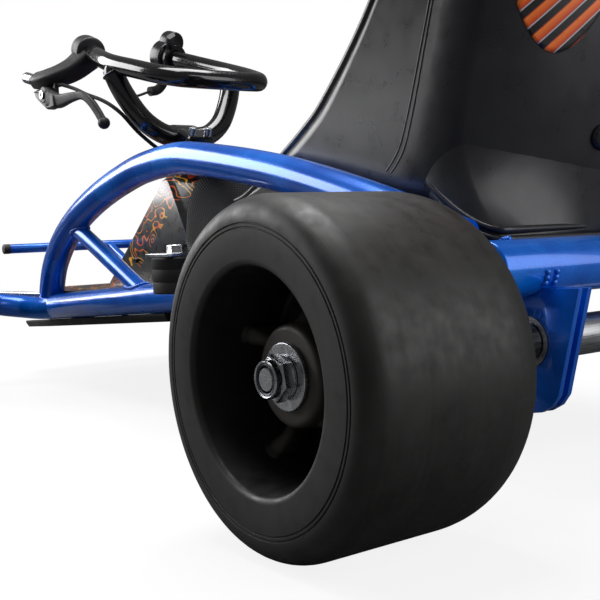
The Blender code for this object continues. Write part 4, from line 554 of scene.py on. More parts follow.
def block(low, high, edge=0.001):
    """A block with rounded edges."""
    low, high = Vector(low), Vector(high)
    size, middle = high - low, (high + low) / 2
    shape = bmesh.new()
    made = bmesh.ops.create_cube(shape, size=1.0, matrix=Matrix.Translation(middle)
                                 @ Matrix.Diagonal((*size, 1.0)))
    edge = min(edge, min(size) * 0.45)
    bmesh.ops.bevel(shape, geom=list({e for v in made["verts"] for e in v.link_edges}), offset=edge,
                    segments=3, affect="EDGES", profile=0.5)
    shape.verts.index_update()
    shell = [v.co.copy() for v in shape.verts], [tuple(v.index for v in f.verts) for f in shape.faces]
    shape.free()
    return shell


def plate(outline, centre, normal, thickness, first, edge=0.0005):
    """An outline with thickness along the normal, its two rims slightly rounded."""
    normal = normal.normalized()
    first = (first - normal * first.dot(normal)).normalized()
    second = normal.cross(first)
    count = len(outline)
    insides = []
    turn = sum(outline[k - 1][0] * outline[k][1] - outline[k][0] * outline[k - 1][1] for k in range(count))
    for k in range(count):
        before, here, after = (Vector(outline[(k + s) % count]) for s in (-1, 0, 1))
        away = (here - before).normalized() + (after - here).normalized()
        away = Vector((-away.y, away.x)).normalized() * (edge if turn > 0 else -edge)
        insides.append(here + away)
    rings = []
    for points, height in ((insides, 0), (outline, edge), (outline, thickness - edge), (insides, thickness)):
        rings.append([centre + first * p[0] + second * p[1] + normal * height for p in points])
    return rings_to_shell(rings)


def make(name, *shells, sharp=38.0):
    """One object from (shell, material) pairs."""
    shape = bmesh.new()
    looks = []
    for (points, faces), look in shells:
        if look not in looks:
            looks.append(look)
        verts = [shape.verts.new(p) for p in points]
        for face in faces:
            corners = list(dict.fromkeys(verts[i] for i in face))
            if len(corners) > 2:
                made = shape.faces.new(corners)
                made.material_index = looks.index(look)
    bmesh.ops.remove_doubles(shape, verts=shape.verts, dist=1e-6)
    bmesh.ops.dissolve_degenerate(shape, dist=1e-7, edges=shape.edges)
    bmesh.ops.recalc_face_normals(shape, faces=shape.faces)
    mesh = bpy.data.meshes.new(name)
    shape.to_mesh(mesh)
    shape.free()
    for look in looks:
        mesh.materials.append(look)
    mesh.shade_smooth()
    mesh.set_sharp_from_angle(angle=math.radians(sharp))
    piece = bpy.data.objects.new(name, mesh)
    bpy.context.collection.objects.link(piece)
    return piece


def walled(name, rows, look, thickness, even=False):
    """A sheet through rows of points, with a wall."""
    wide = len(rows[0])
    faces = [(r * wide + k, r * wide + k + 1, (r + 1) * wide + k + 1, (r + 1) * wide + k)
             for r in range(len(rows) - 1) for k in range(wide - 1)]
    piece = make(name, (([point for row in rows for point in row], faces), look), sharp=60)
    wall = piece.modifiers.new("wall", "SOLIDIFY")
    wall.thickness, wall.offset, wall.use_even_offset = thickness, 0.0, even
    return baked(piece)


def baked(piece):
    """Turn a piece's modifiers into plain mesh."""
    bpy.context.view_layer.update()
    result = bpy.data.meshes.new_from_object(piece.evaluated_get(bpy.context.evaluated_depsgraph_get()))
    piece.modifiers.clear()
    piece.data = result
    return piece


total = {"pieces": 0, "triangles": 0}


def place(piece, body, slot, *nodes):
    """Let a piece ride on its body and stand for its solids; slot is not used."""
    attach(piece, body)
    if nodes:
        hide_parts(*nodes)
    total["pieces"] += 1
    total["triangles"] += sum(len(p.vertices) - 2 for p in piece.data.polygons)
    return piece


SIDES = (("left", 1), ("right", -1))


def flip(points, sign):
    return [Vector((p[0], p[1] * sign, p[2])) for p in points]


def mirrored(point):
    return Vector((point[0], -point[1], point[2]))


print("a 10 mm circle has", len(circle(0.01)), "sides")

# %% [markdown]
# Many solids already have the right shape: plates, folded sheets, castings. Such a node is copied, its loose
# triangles are merged into clean faces, and its edges get a small radius, because no pressed or cast edge is
# razor sharp and the thin highlight along it is what makes it look real.


# %% Refined solids
def refined(node, body, slot, look, edge_mm=0.6, sharp=30.0):
    """A copy of a solid with clean faces and rounded edges, which stands for it."""
    shape = bmesh.new()
    shape.from_mesh(frame["nodes"][node].data)
    bmesh.ops.remove_doubles(shape, verts=shape.verts, dist=2e-6)
    bmesh.ops.dissolve_limit(shape, angle_limit=math.radians(0.6), verts=shape.verts, edges=shape.edges)
    mesh = bpy.data.meshes.new(node + "_finished")
    shape.to_mesh(mesh)
    shape.free()
    mesh.materials.clear()
    mesh.materials.append(look)
    piece = bpy.data.objects.new(mesh.name, mesh)
    bpy.context.collection.objects.link(piece)
    if edge_mm:
        bevel = piece.modifiers.new("edges", "BEVEL")
        bevel.width, bevel.segments = edge_mm / 1000, 2
        bevel.limit_method, bevel.angle_limit = "ANGLE", math.radians(sharp)
        baked(piece)
    piece.data.shade_smooth()
    piece.data.set_sharp_from_angle(angle=math.radians(sharp))
    return place(piece, body, slot, node)


print("nodes in the frame:", len(frame["nodes"]))

# %% [markdown]
# Weld beads, chain links, tread blocks, screws and fins all repeat, so Geometry Nodes make them. Two trees
# are enough. One walks along a line and puts a small shape at even steps, turned with the line. The other
# puts a shape on each point of a mesh with one fixed turn. Both take their sizes as named inputs and end in
# Realize Instances and Set Material, so the result is plain mesh.


# %% Geometry Nodes trees
def new_tree(name, *sockets):
    tree = bpy.data.node_groups.new(name, "GeometryNodeTree")
    tree.interface.new_socket("Geometry", in_out="INPUT", socket_type="NodeSocketGeometry")
    for label, kind in sockets:
        tree.interface.new_socket(label, in_out="INPUT", socket_type="NodeSocket" + kind)
    tree.interface.new_socket("Geometry", in_out="OUTPUT", socket_type="NodeSocketGeometry")
    return tree, add(tree, "NodeGroupInput").outputs


def close_tree(tree, geometry, look):
    real = add(tree, "GeometryNodeRealizeInstances", {"Geometry": geometry}).outputs[0]
    painted = add(tree, "GeometryNodeSetMaterial", {"Geometry": real, "Material": look}).outputs[0]
    smooth = add(tree, "GeometryNodeSetShadeSmooth", {"Geometry": painted}).outputs[0]
    add(tree, "NodeGroupOutput", {0: smooth})


def along_line_tree():
    tree, given = new_tree("repeat_along_line", ("Pitch", "Float"), ("Shape", "Object"), ("Scale", "Vector"),
                           ("Side", "Vector"), ("Look", "Material"))
    line = add(tree, "GeometryNodeMeshToCurve", {"Mesh": given["Geometry"]}).outputs[0]
    points = add(tree, "GeometryNodeCurveToPoints", {"Curve": line, "Length": given["Pitch"]}, mode="LENGTH")
    shape = add(tree, "GeometryNodeObjectInfo", {"Object": given["Shape"]}).outputs["Geometry"]
    ahead = add(tree, "FunctionNodeAlignRotationToVector", {"Vector": points.outputs["Tangent"]},
                axis="Z").outputs[0]
    turned = add(tree, "FunctionNodeAlignRotationToVector", {"Rotation": ahead, "Vector": given["Side"]},
                 axis="X", pivot_axis="Z").outputs[0]
    copies = add(tree, "GeometryNodeInstanceOnPoints",
                 {"Points": points.outputs["Points"], "Instance": shape, "Rotation": turned,
                  "Scale": given["Scale"]}).outputs[0]
    close_tree(tree, copies, given["Look"])
    return tree


def on_points_tree():
    tree, given = new_tree("one_on_each_point", ("Shape", "Object"), ("Turn", "Rotation"), ("Size", "Float"),
                           ("Look", "Material"))
    shape = add(tree, "GeometryNodeObjectInfo", {"Object": given["Shape"]}).outputs["Geometry"]
    scale = add(tree, "ShaderNodeCombineXYZ", {k: given["Size"] for k in range(3)}).outputs[0]
    copies = add(tree, "GeometryNodeInstanceOnPoints",
                 {"Points": given["Geometry"], "Instance": shape, "Rotation": given["Turn"],
                  "Scale": scale}).outputs[0]
    close_tree(tree, copies, given["Look"])
    return tree


ALONG, ON_POINTS = along_line_tree(), on_points_tree()


def grown(name, tree, points, edges, **inputs):
    """Run a tree on points and edges and keep its plain mesh."""
    mesh = bpy.data.meshes.new(name)
    mesh.from_pydata([tuple(p) for p in points], edges, [])
    piece = bpy.data.objects.new(name, mesh)
    bpy.context.collection.objects.link(piece)
    modifier = piece.modifiers.new("grow", "NODES")
    modifier.node_group = tree
    keys = {s.name: s.identifier for s in tree.interface.items_tree if s.in_out == "INPUT"}
    for label, value in inputs.items():
        modifier[keys[label]] = value
    return baked(piece)


TOOLS = []


def shape_tool(name, *shells):
    """A small shape for the trees, removed once they have run."""
    TOOLS.append(make(name, *shells))
    return TOOLS[-1]


profile = [(0, -1), (0.55, -0.8), (0.95, -0.3), (0.95, 0.3), (0.55, 0.8), (0, 1)]
ripple = shape_tool("ripple_tool", (lathe(profile, Vector(), UP, 12), BLUE))
profile = [(0, -0.4), (1.0, -0.4), (1.0, 0.75), (0.85, 1.0), (0.58, 1.0), (0.5, 0.35), (0, 0.35)]
screw = shape_tool("screw_tool", (lathe(profile, Vector(), UP, 12), ZINC))


def weld(name, body, slot, look, loops, radius=0.0024, pitch=0.0026):
    """Weld beads along closed or open lines, one ripple beside the other."""
    points, edges = [], []
    for line, closed in loops:
        first = len(points)
        points += line
        edges += [(first + k, first + k + 1) for k in range(len(line) - 1)]
        if closed:
            edges.append((first + len(line) - 1, first))
    made = grown(name, ALONG, points, edges, Pitch=pitch, Shape=ripple,
                 Scale=(radius, radius, pitch * 0.85), Side=(0.0, 0.0, 1.0), Look=look)
    return place(made, body, slot)


def screws(name, body, slot, look, spots, axis, size):
    """Socket screws on spots, all facing one way."""
    turn = Vector(axis).to_track_quat("Z", "Y").to_euler()
    made = grown(name, ON_POINTS, spots, [], Shape=screw, Turn=tuple(turn), Size=size, Look=look)
    return place(made, body, slot)


def saddle(foot, direction, radius, through, along, around, count=40, away=0.0004):
    """Lines where a tube of this radius meets another of radius around, as (points, closed) pairs."""
    direction, first, second = basis(Vector(direction))
    along = Vector(along).normalized()
    found = []
    for a in turns(count):
        start = Vector(foot) + (first * math.cos(a) + second * math.sin(a)) * (radius + away)
        rel = start - Vector(through)
        rel, slope = rel - along * rel.dot(along), direction - along * direction.dot(along)
        square, double, rest = slope.dot(slope), 2 * rel.dot(slope), rel.dot(rel) - (around + away) ** 2
        root = double * double - 4 * square * rest
        found.append(start + direction * (-double + math.sqrt(root)) / (2 * square) if root >= 0 else None)
    if None not in found:
        return [(found, True)]
    gap = found.index(None)
    runs = [[]]
    for point in found[gap:] + found[:gap]:
        if point is None:
            runs.append([])
        else:
            runs[-1].append(point)
    return [(run, False) for run in runs if len(run) > 2]


print("trees:", ALONG.name, ON_POINTS.name)

# %% [markdown]
# The frame is bent and welded steel tube. Each tube is a circle swept along the same middle line as its
# solid, with 36 sides so that its outline is round, and the bent ones follow a smooth curve. A bevelled
# curve object would do as well, but a swept mesh can be joined with its struts and forks in one piece.


# %% Frame lines
CROSS_Z, CROSS_R, RAIL_R, ARCH_R, STRUT_R = 0.149, 0.019, 0.0155, 0.0155, 0.0092
ARM_R, HOOP_R, COLUMN_R, FLOOR_TUBE_R, STAY_R = 0.014, 0.010, 0.0127, 0.0085, 0.006
FRONT_AXLE, KINGPIN_Y, RAIL_END, FLOOR_TUBE_AHEAD = 0.800, 0.232, 0.775, 0.560
PANEL_Z, GAP = 0.113, 0.0003
LEAN = math.radians(23.0)
COLUMN_AXIS = Vector((-math.sin(LEAN), 0, math.cos(LEAN)))
COLUMN_FORWARD = Vector((math.cos(LEAN), 0, math.sin(LEAN)))


def column_point(along):
    return at(0.7175, 0, 0.080) + COLUMN_AXIS * along


def rail_z(ahead):
    return CROSS_Z - 0.0690 * ahead


def rail_y(ahead):
    return 0.150 - 0.013 * min(1.0, max(0.0, (ahead - 0.400) / 0.375))


rail_line = [at(x, rail_y(x), rail_z(x)) for x in (0.0, 0.35, 0.45, 0.6, RAIL_END)]
arch_line = smooth_path(spots_at(
    (0.028, 0.150, 0.168), (0.110, 0.150, 0.195), (0.200, 0.150, 0.2195), (0.275, 0.150, 0.2352),
    (0.354, 0.150, 0.2480), (0.405, 0.150, 0.2530), (0.470, 0.150, 0.2495), (0.521, 0.149, 0.2412),
    (0.572, 0.148, 0.2296), (0.622, 0.146, 0.2152), (0.660, 0.144, 0.2013), (0.694, 0.142, 0.1855),
    (0.721, 0.140, 0.1690), (0.745, 0.1385, 0.1480), (0.761, 0.137, 0.1240), (0.768, 0.137, 0.1000)))
arm_line = smooth_path(spots_at((0.740, 0.136, rail_z(RAIL_END) + 0.002), (0.766, 0.149008, 0.0955),
                                (0.789, 0.167968, 0.0980), (0.798, 0.194986, 0.1030), (0.799, 0.216, 0.1100)),
                       0.006)
strut_foot, strut_top = at(0.478, rail_y(0.478), rail_z(0.478)), at(0.669, 0.1435, 0.1965)
print("arch has", len(arch_line), "rings")

# %% Cross tube, rails, arches
cross = make("cross_tube_painted",
             (lathe(cylinder(CROSS_R, -0.1593, 0.1593), at(0, 0, CROSS_Z), ACROSS, 64, 0.002), BLUE))
place(cross, "frame", "blue_paint", "rear_cross_tube")
for side, sign in SIDES:
    inner = KINGPIN_Y - 0.017
    shells = [(sweep(flip(smooth_path(rail_line, 0.03), sign), circle(RAIL_R, 36)), BLUE),
              (sweep(flip(arm_line, sign), circle(ARM_R, 36)), BLUE)]
    yoke_back, yoke_front = FRONT_AXLE - 0.012, FRONT_AXLE + 0.012
    for z in (0.0925, 0.1540):
        low, high = sorted((inner * sign, (KINGPIN_Y + 0.010) * sign))
        shells.append((block(at(yoke_back, low, z), at(yoke_front, high, z + 0.0055), 0.0012), BLUE))
    low, high = sorted((inner * sign, (inner + 0.005) * sign))
    shells.append((block(at(yoke_back, low, 0.0945), at(yoke_front, high, 0.1575), 0.001), BLUE))
    pin = [(0, 0.0905), (0.005, 0.0905), (0.005, 0.159), (0.0085, 0.159), (0.0085, 0.164), (0, 0.164)]
    shells.append((lathe(pin, at(FRONT_AXLE, KINGPIN_Y * sign, 0), UP, 32, 0.0007), ZINC))
    rail = make("lower_rail_painted_" + side, *shells)
    place(rail, "frame", "blue_paint", "lower_rail_" + side)
    arch = make("side_arch_painted_" + side, (sweep(flip(arch_line, sign), circle(ARCH_R, 36)), BLUE),
                (rod(*flip([strut_foot, strut_top], sign), STRUT_R, 36, 0.0), BLUE))
    place(arch, "frame", "blue_paint", "side_arch_" + side)
print("triangles so far", total["triangles"])

# %% Front hoop and steering support
HOOP_X, HOOP_TOP = 0.884, PANEL_Z - GAP - HOOP_R
FOOT_BAR, FOOT_BAR_R, FOOT_STEM_R = at(0.880, 0, 0.171), 0.0063, 0.0057
BEARING_RODS_Y, BEARING_ROD_R = 0.109, 0.0065
hoop_half = spots_at((0.700, 0.118, 0.096), (0.735, 0.102, 0.089), (0.800, 0.092, 0.086),
                     (0.835, 0.092, 0.088), (HOOP_X - 0.012, 0.086, HOOP_TOP - 0.002),
                     (HOOP_X, 0.070, HOOP_TOP), (HOOP_X, 0.030, HOOP_TOP))
hoop_line = smooth_path(hoop_half + [mirrored(p) for p in reversed(hoop_half)], 0.01)
bearing = column_point(0.012)
middle = bearing + COLUMN_AXIS * 0.006
rod_z = middle.z - 0.0008
shells = [(sweep(hoop_line, circle(HOOP_R, 32)), BLUE),
          (lathe(cylinder(FOOT_BAR_R, -0.1535, 0.1535), FOOT_BAR, ACROSS, 40, 0.0008), BLUE),
          (rod((middle.x, -BEARING_RODS_Y, rod_z), (middle.x, BEARING_RODS_Y, rod_z), BEARING_ROD_R), BLUE),
          (lathe(pipe(COLUMN_R + 0.0004, 0.0207, 0, 0.012), bearing, COLUMN_AXIS, 48, 0.0008), BLUE),
          (rod(middle + COLUMN_FORWARD * 0.012, FOOT_BAR, FOOT_STEM_R), BLUE)]
plug = [(0, 0.146), (0.0066, 0.146), (0.0066, 0.1543), (0.0045, 0.155), (0, 0.155)]
shells += [(lathe(plug, FOOT_BAR, ACROSS * sign, 40, 0.0006), BLACK_NYLON) for _, sign in SIDES]
place(make("front_hoop_painted", *shells), "frame", "blue_paint", "front_hoop")

tube_z = PANEL_Z - GAP - FLOOR_TUBE_R
span = rail_y(FLOOR_TUBE_AHEAD) - 0.010
shells = [(lathe(cylinder(FLOOR_TUBE_R, -span, span), at(FLOOR_TUBE_AHEAD, 0, tube_z), ACROSS, 36), BLUE),
          (lathe(pipe(COLUMN_R + 0.0004, 0.0175, 0, 0.050), column_point(0.140), COLUMN_AXIS, 64, 0.0009),
           BLUE)]
stays = [(at(FLOOR_TUBE_AHEAD + 0.004, 0.026 * sign, tube_z), column_point(0.165) + ACROSS * 0.008 * sign)
         for _, sign in SIDES]
shells += [(rod(low, high - (high - low).normalized() * 0.013, STAY_R), BLUE) for low, high in stays]
place(make("steering_support_painted", *shells), "frame", "blue_paint", "steering_support")
print("hoop line", len(hoop_line), "rings")

# %% [markdown]
# A weld is a row of overlapping ripples where one tube meets another. The meeting line of two tubes is
# solved point by point, and the line tree lays a flattened bead at every 2.6 mm of it. A texture could
# suggest the ripples, but these catch the light on their edges as the photographed welds do.

# %% Frame welds
loops = []
near = min(range(1, len(arch_line) - 1), key=lambda k: (arch_line[k] - strut_top).length)
for _, sign in SIDES:
    foot, top = flip([strut_foot, strut_top], sign)
    rail_dir, arch_dir = flip([rail_line[3] - rail_line[2], arch_line[near + 1] - arch_line[near - 1]], sign)
    loops += saddle(foot, (top - foot).normalized(), STRUT_R, foot, rail_dir, RAIL_R)
    loops += saddle(top, (foot - top).normalized(), STRUT_R, top, arch_dir, ARCH_R)
    cross_axis = (at(0, 0, CROSS_Z), ACROSS, CROSS_R)
    start = at(0.028, 0.150 * sign, 0.168)
    loops += saddle(start, arch_line[1] - arch_line[0], ARCH_R, *cross_axis)
    loops += saddle(at(0, 0.150 * sign, CROSS_Z), rail_line[1] - rail_line[0], RAIL_R, *cross_axis)
    for y, first_angle in ((0.1215, 188), (0.1125, 188), (0.1215, 328)):
        seam = arc((0, CROSS_Z), (CROSS_R + 0.0005, CROSS_R + 0.0005), first_angle, first_angle + 22, 11)
        loops.append(([at(x, (y + 0.0004) * sign, z) for x, z in seam], False))
    ahead, y = FLOOR_TUBE_AHEAD, rail_y(FLOOR_TUBE_AHEAD) * sign
    loops += saddle(at(ahead, y, tube_z), ACROSS * -sign, FLOOR_TUBE_R, at(ahead, y, rail_z(ahead)), rail_dir,
                    RAIL_R)
for low, high in stays:
    loops += saddle(low, high - low, STAY_R, at(FLOOR_TUBE_AHEAD, 0, tube_z), ACROSS, FLOOR_TUBE_R)
beads = weld("frame_weld_beads", "frame", "blue_paint", BLUE, loops, 0.0022)
print("bead faces", len(beads.data.polygons))

# %% [markdown]
# The rear axle, its wheels and all that is clamped between them turn together. The slider wheel is the piece
# nearest to the camera: a turned body with two round shoulders, a deep dish and five webs that flare into
# hub and rim. The body is one turned profile with 144 sides; each web is a row of rounded sections, which
# gives the soft moulded edges that a Boolean on a coarse body would not.

# %% Slider wheels
AXLE = at(0, 0, AXLE_HEIGHT)
WHEEL_R, WHEEL_IN, WHEEL_W, DISH_R, HUB_R, DISH_FLOOR = 0.100, 0.215, 0.125, 0.062, 0.029, 0.066
AXLE_HOLE, WEBS = 0.0078, 5


def wheel_profile():
    """The wheel's section as (radius, height) from its inner face."""
    w, face = WHEEL_W, WHEEL_W - 0.025
    profile = [(AXLE_HOLE, 0.016), (0.024, 0.016), (0.026, 0.050), (0.058, 0.050), (0.064, 0.004),
               (0.070, 0.0)]
    profile += arc((WHEEL_R - 0.017, 0.030), (0.017, 0.030), -90, 0, 12)
    profile += arc((WHEEL_R - 0.014, w - 0.017), (0.014, 0.017), 0, 90, 12)
    for r in (0.0845, 0.0822):
        profile += [(r + 0.0006, w), (r + 0.0003, w - 0.0006), (r - 0.0003, w - 0.0006), (r - 0.0006, w)]
    dish = rounded([(0.070, w), (DISH_R, w - 0.0006), (DISH_R - 0.003, DISH_FLOOR),
                    (HUB_R + 0.003, DISH_FLOOR), (HUB_R - 0.0005, face), (AXLE_HOLE, face), (AXLE_HOLE, w)],
                   0.0035, 4)[5:-10]
    return profile + dish + [(AXLE_HOLE, face)]


def wheel_web(axis, angle):
    """One web from hub to rim, wider at both ends and lower in its middle."""
    rings = []
    for s in range(19):
        t = s / 18
        radius = HUB_R - 0.004 + (DISH_R - HUB_R + 0.006) * t
        half = 0.0042 + 0.005 * abs(2 * t - 1) ** 2.6
        top = WHEEL_IN + WHEEL_W - 0.029 - 0.012 * math.sin(math.pi * t)
        low = WHEEL_IN + DISH_FLOOR - 0.004
        section = [(-half - 0.0008, low), (half + 0.0008, low)]
        section += arc((0, top - 0.0035), (half, 0.0035), 0, 180, 6)
        rings.append([AXLE + spoke(angle, radius) + spoke(angle + math.pi / 2, c) + axis * h
                      for c, h in section])
    return rings_to_shell(rings)


for side, sign in SIDES:
    axis = ACROSS * sign
    shells = [(lathe([(r, h + WHEEL_IN) for r, h in wheel_profile()], AXLE, axis, 144), WHEEL)]
    shells += [(wheel_web(axis, angle), WHEEL) for angle in turns(WEBS, math.pi / 2 / WEBS)]
    wheel = make("slider_wheel_turned_" + side, *shells, sharp=50)
    place(wheel, "rear_axle_set", "charcoal_plastic", "slider_wheel_" + side)
print("wheel faces", len(wheel.data.polygons))

# %% [markdown]
# The wheel is held by a zinc washer and a locking nut: a hexagon with a flange below and a collar above that
# grips a blue-black nylon ring. The stud's thread is drawn as rings of 1.25 mm pitch; a true helix would
# look the same at this size.

# %% Axle, nuts, washers and sleeve


def thread(radius, low, high, pitch=0.00125):
    points, h = [], low
    while h < high:
        points += [(radius, h), (radius * 0.91, h + pitch / 2)]
        h += pitch
    return points


AXLE_END, AXLE_R = 0.3301, 0.0075
line = thread(AXLE_R, 0.3166, AXLE_END - 0.0015)
profile = [(0, -AXLE_END), (0.0062, -AXLE_END)] + [(r, -h) for r, h in reversed(line)]
profile += [(AXLE_R, -0.316), (AXLE_R, 0.316)] + line + [(0.0062, AXLE_END), (0, AXLE_END)]
place(make("rear_axle_bar", (lathe(profile, AXLE, ACROSS, 40), STEEL)), "rear_axle_set", "steel", "rear_axle")
sleeve = lathe(pipe(AXLE_HOLE, 0.0143, -0.1077, 0.1077), AXLE, ACROSS, 64, 0.0006)
place(make("axle_sleeve_tube", (sleeve, STEEL)), "rear_axle_set", "steel", "axle_sleeve")
base = 0.3181
washer = pipe(AXLE_HOLE, 0.019, 0.3153, 0.3178)
flange = [(AXLE_HOLE, base), (0.0124, base), (0.0124, base + 0.001), (0.0112, base + 0.0024),
          (AXLE_HOLE, base + 0.0024)]
hexagon = [(AXLE_HOLE, base + 0.001), (0.0133, base + 0.001), (0.0133, base + 0.0072),
           (0.0121, base + 0.0084), (AXLE_HOLE, base + 0.0084)]
collar = [(0.0088, base + 0.006), (0.0108, base + 0.008), (0.0106, base + 0.0118), (0.0098, base + 0.0128),
          (0.0090, base + 0.0122), (0.0088, base + 0.010)]
ring = [(0.0076, base + 0.006), (0.0092, base + 0.006), (0.0092, base + 0.0115), (0.0084, base + 0.0122),
        (0.0076, base + 0.0118)]
race = [(AXLE_HOLE, 0.108), (0.0102, 0.108), (0.0106, 0.1087), (0.0146, 0.1087), (0.0150, 0.108),
        (0.0175, 0.108), (0.0175, 0.122), (0.0150, 0.122), (0.0146, 0.1213), (0.0106, 0.1213),
        (0.0102, 0.122), (AXLE_HOLE, 0.122)]
for side, sign in SIDES:
    axis = ACROSS * sign
    place(make("axle_washer_pressed_" + side, (lathe(washer, AXLE, axis, 72, 0.0006), ZINC)),
          "rear_axle_set", "zinc", "axle_washer_" + side)
    nut = make("axle_nut_locking_" + side, (lathe(flange, AXLE, axis, 48, 0.0003), ZINC),
               (lathe(hexagon, AXLE, axis, 6, 0.0002, math.radians(12)), ZINC),
               (lathe(collar, AXLE, axis, 48, 0.0003), ZINC), (lathe(ring, AXLE, axis, 48), RING_NYLON),
               sharp=25)
    place(nut, "rear_axle_set", "zinc", "axle_nut_" + side)
    place(make("axle_bearing_race_" + side, (lathe(race, AXLE, axis, 64), STEEL)), "frame", "steel",
          "axle_bearing_" + side)
refined("axle_sprocket", "rear_axle_set", "steel", TURNED, 0.2)
refined("brake_disc", "rear_axle_set", "steel", TURNED, 0.3)
print("axle runs to", AXLE_END, "m each side")

# %% [markdown]
# The axle plates are pressed and folded sheet. Their solids are exact, so they are only refined; a small
# round punch mark is added where the photograph has one. The brake caliper is a rough casting beside them.

# %% Plates, caliper and brake arm
mark = [(0, 0.1205), (0.0034, 0.1205), (0.0034, 0.1222), (0.0026, 0.1226), (0.0020, 0.1220), (0, 0.1219)]
for side, sign in SIDES:
    refined("axle_plate_" + side, "frame", "blue_paint", BLUE, 0.7)
    place(make("plate_mark_" + side, (lathe(mark, at(-0.0099, 0, 0.1188), ACROSS * sign, 28), BLUE)),
          "frame", "blue_paint")
refined("brake_caliper", "frame", "cast_metal", CAST, 0.8)
refined("brake_arm", "brake_arm", "zinc", ZINC, 0.4)
screws("caliper_screws", "frame", "zinc", ZINC,
       [at(0.052 + dx, 0.2007, 0.100 + dz) for dx in (-0.007, 0.014) for dz in (-0.012, 0.012)],
       (0, 1, 0), 0.0028)

# %% [markdown]
# The drive: a black motor with cooling ribs, a twelve-tooth pinion, and a chain of 6.35 mm pitch. The chain's
# solid is one band; here the line tree lays a real link at every pitch, outer and inner links in turn.

# %% Motor and chain
MOTOR, CHAIN_PITCH, CHAIN_Y = at(0.215, 0, 0.097), 0.00635, -0.182
SPROCKET_TEETH, PINION_TEETH = 48, 12
profile = [(0, 0.030), (0.036, 0.030), (0.041, 0.034)]
for k in range(12):
    h = 0.042 + k * 0.0058
    profile += [(0.041, h), (0.041, h + 0.0018), (0.0388, h + 0.0022), (0.0388, h + 0.0052)]
profile += [(0.041, 0.1125), (0.041, 0.1140), (0.039, 0.1160), (0.039, 0.1230), (0.016, 0.1240),
            (0.016, 0.126), (0, 0.126)]
motor = make("motor_ribbed", (lathe(profile, MOTOR, -ACROSS, 72), GLOSS_BLACK))
place(motor, "frame", "black_paint", "motor")
screws("motor_screws", "frame", "zinc", ZINC,
       [MOTOR + spoke(a, 0.030) - ACROSS * 0.1233 for a in turns(4, math.pi / 4)], (0, -1, 0), 0.0026)
refined("motor_sprocket", "motor_sprocket", "steel", TURNED, 0.0)


def chain_points():
    """The closed chain line at even steps, one point a link."""
    big, small = [CHAIN_PITCH / (2 * math.sin(math.pi / n)) for n in (SPROCKET_TEETH, PINION_TEETH)]
    dx, dz = (MOTOR - AXLE).x, (MOTOR - AXLE).z
    reach, tilt = math.hypot(dx, dz), math.atan2(dz, dx)
    wrap = math.degrees(math.acos((big - small) / reach))
    tilt = math.degrees(tilt)
    path = arc((0, AXLE_HEIGHT), (big, big), tilt + wrap, tilt + 360 - wrap, 90)
    path += arc((dx, AXLE_HEIGHT + dz), (small, small), tilt - wrap, tilt + wrap, 24)
    path.append(path[0])
    lengths = [0.0]
    for before, after in zip(path, path[1:]):
        lengths.append(lengths[-1] + math.dist(before, after))
    count = 2 * round(lengths[-1] / CHAIN_PITCH / 2)
    points, seat = [], 0
    for k in range(count):
        want = lengths[-1] * k / count
        while lengths[seat + 1] < want:
            seat += 1
        here, there = (at(x, CHAIN_Y, z) for x, z in path[seat:seat + 2])
        points.append(here.lerp(there, (want - lengths[seat]) / (lengths[seat + 1] - lengths[seat])))
    return points


def link_shape(name, offset):
    """Two link plates and a roller; the link runs along Z and its pins along X."""
    half, thick = 0.0031, 0.0008
    outline = arc((half, 0), (0.0024, 0.0024), 90, -90, 6) + arc((-half, 0), (0.0024, 0.0024), 270, 90, 6)
    shells = [(plate(outline, AHEAD * (side * offset - thick / 2), AHEAD, thick, UP, 0.0001), STEEL)
              for side in (1, -1)]
    shells.append((lathe(cylinder(0.0016, -offset, offset), UP * -half, AHEAD, 8), STEEL))
    return shape_tool(name, *shells)


links = chain_points()
for name, shape, start in (("chain_outer_links", link_shape("outer_link_tool", 0.0030), 0),
                           ("chain_inner_links", link_shape("inner_link_tool", 0.0021), 1)):
    chosen = links[start::2]
    middles = [(a + b) / 2 for a, b in zip(chosen, (links[start + 1:] + links[:1])[::2])]
    pitch = (middles[1] - middles[0]).length
    edges = [(k, (k + 1) % len(middles)) for k in range(len(middles))]
    made = grown(name, ALONG, middles, edges, Pitch=pitch * 0.99999, Shape=shape,
                 Scale=(1.0, 1.0, 1.0), Side=(0.0, 1.0, 0.0), Look=STEEL)
    place(made, "frame", "steel", *(["drive_chain"] if start == 0 else []))
print("chain links", len(links))

# %% [markdown]
# Two sealed batteries stand in a folded tray with their red terminals up, next to a finned controller with a
# rocker switch on its lid. All of it is below the seat and only shows from the side and from below.

# %% Battery, tray, controller
CELL_REAR, CELL_FRONT, CELLS_Y = 0.274, 0.425, 0.094
floor_z = rail_z(CELL_FRONT) - RAIL_R + 0.001
shells = []
for low_y, high_y in ((-CELLS_Y, -0.0008), (0.0008, CELLS_Y)):
    shells.append((block(at(CELL_REAR, low_y, floor_z + 0.0003),
                         at(CELL_FRONT, high_y, floor_z + 0.0590), 0.002), BLACK_NYLON))
    shells.append((block(at(CELL_REAR + 0.001, low_y + 0.001, floor_z + 0.0560),
                         at(CELL_FRONT - 0.001, high_y - 0.001, floor_z + 0.0653), 0.0015), BLACK_NYLON))
for y in (-0.080, -0.020, 0.014, 0.074):
    shells.append((block(at(0.286, y, floor_z + 0.062), at(0.294, y + 0.006, floor_z + 0.069), 0.0008),
                   RED_ABS))
shells.append((block(at(0.340, -0.0945, floor_z + 0.0645), at(0.362, 0.0945, floor_z + 0.0662), 0.0006),
               RUBBER))
place(make("battery_pair", *shells), "frame", "black_plastic", "battery_pack")
refined("battery_tray", "frame", "black_paint", SATIN_BLACK, 0.5)
drop = MOTOR.z - 0.041                       # the controller's underside is level with the motor's
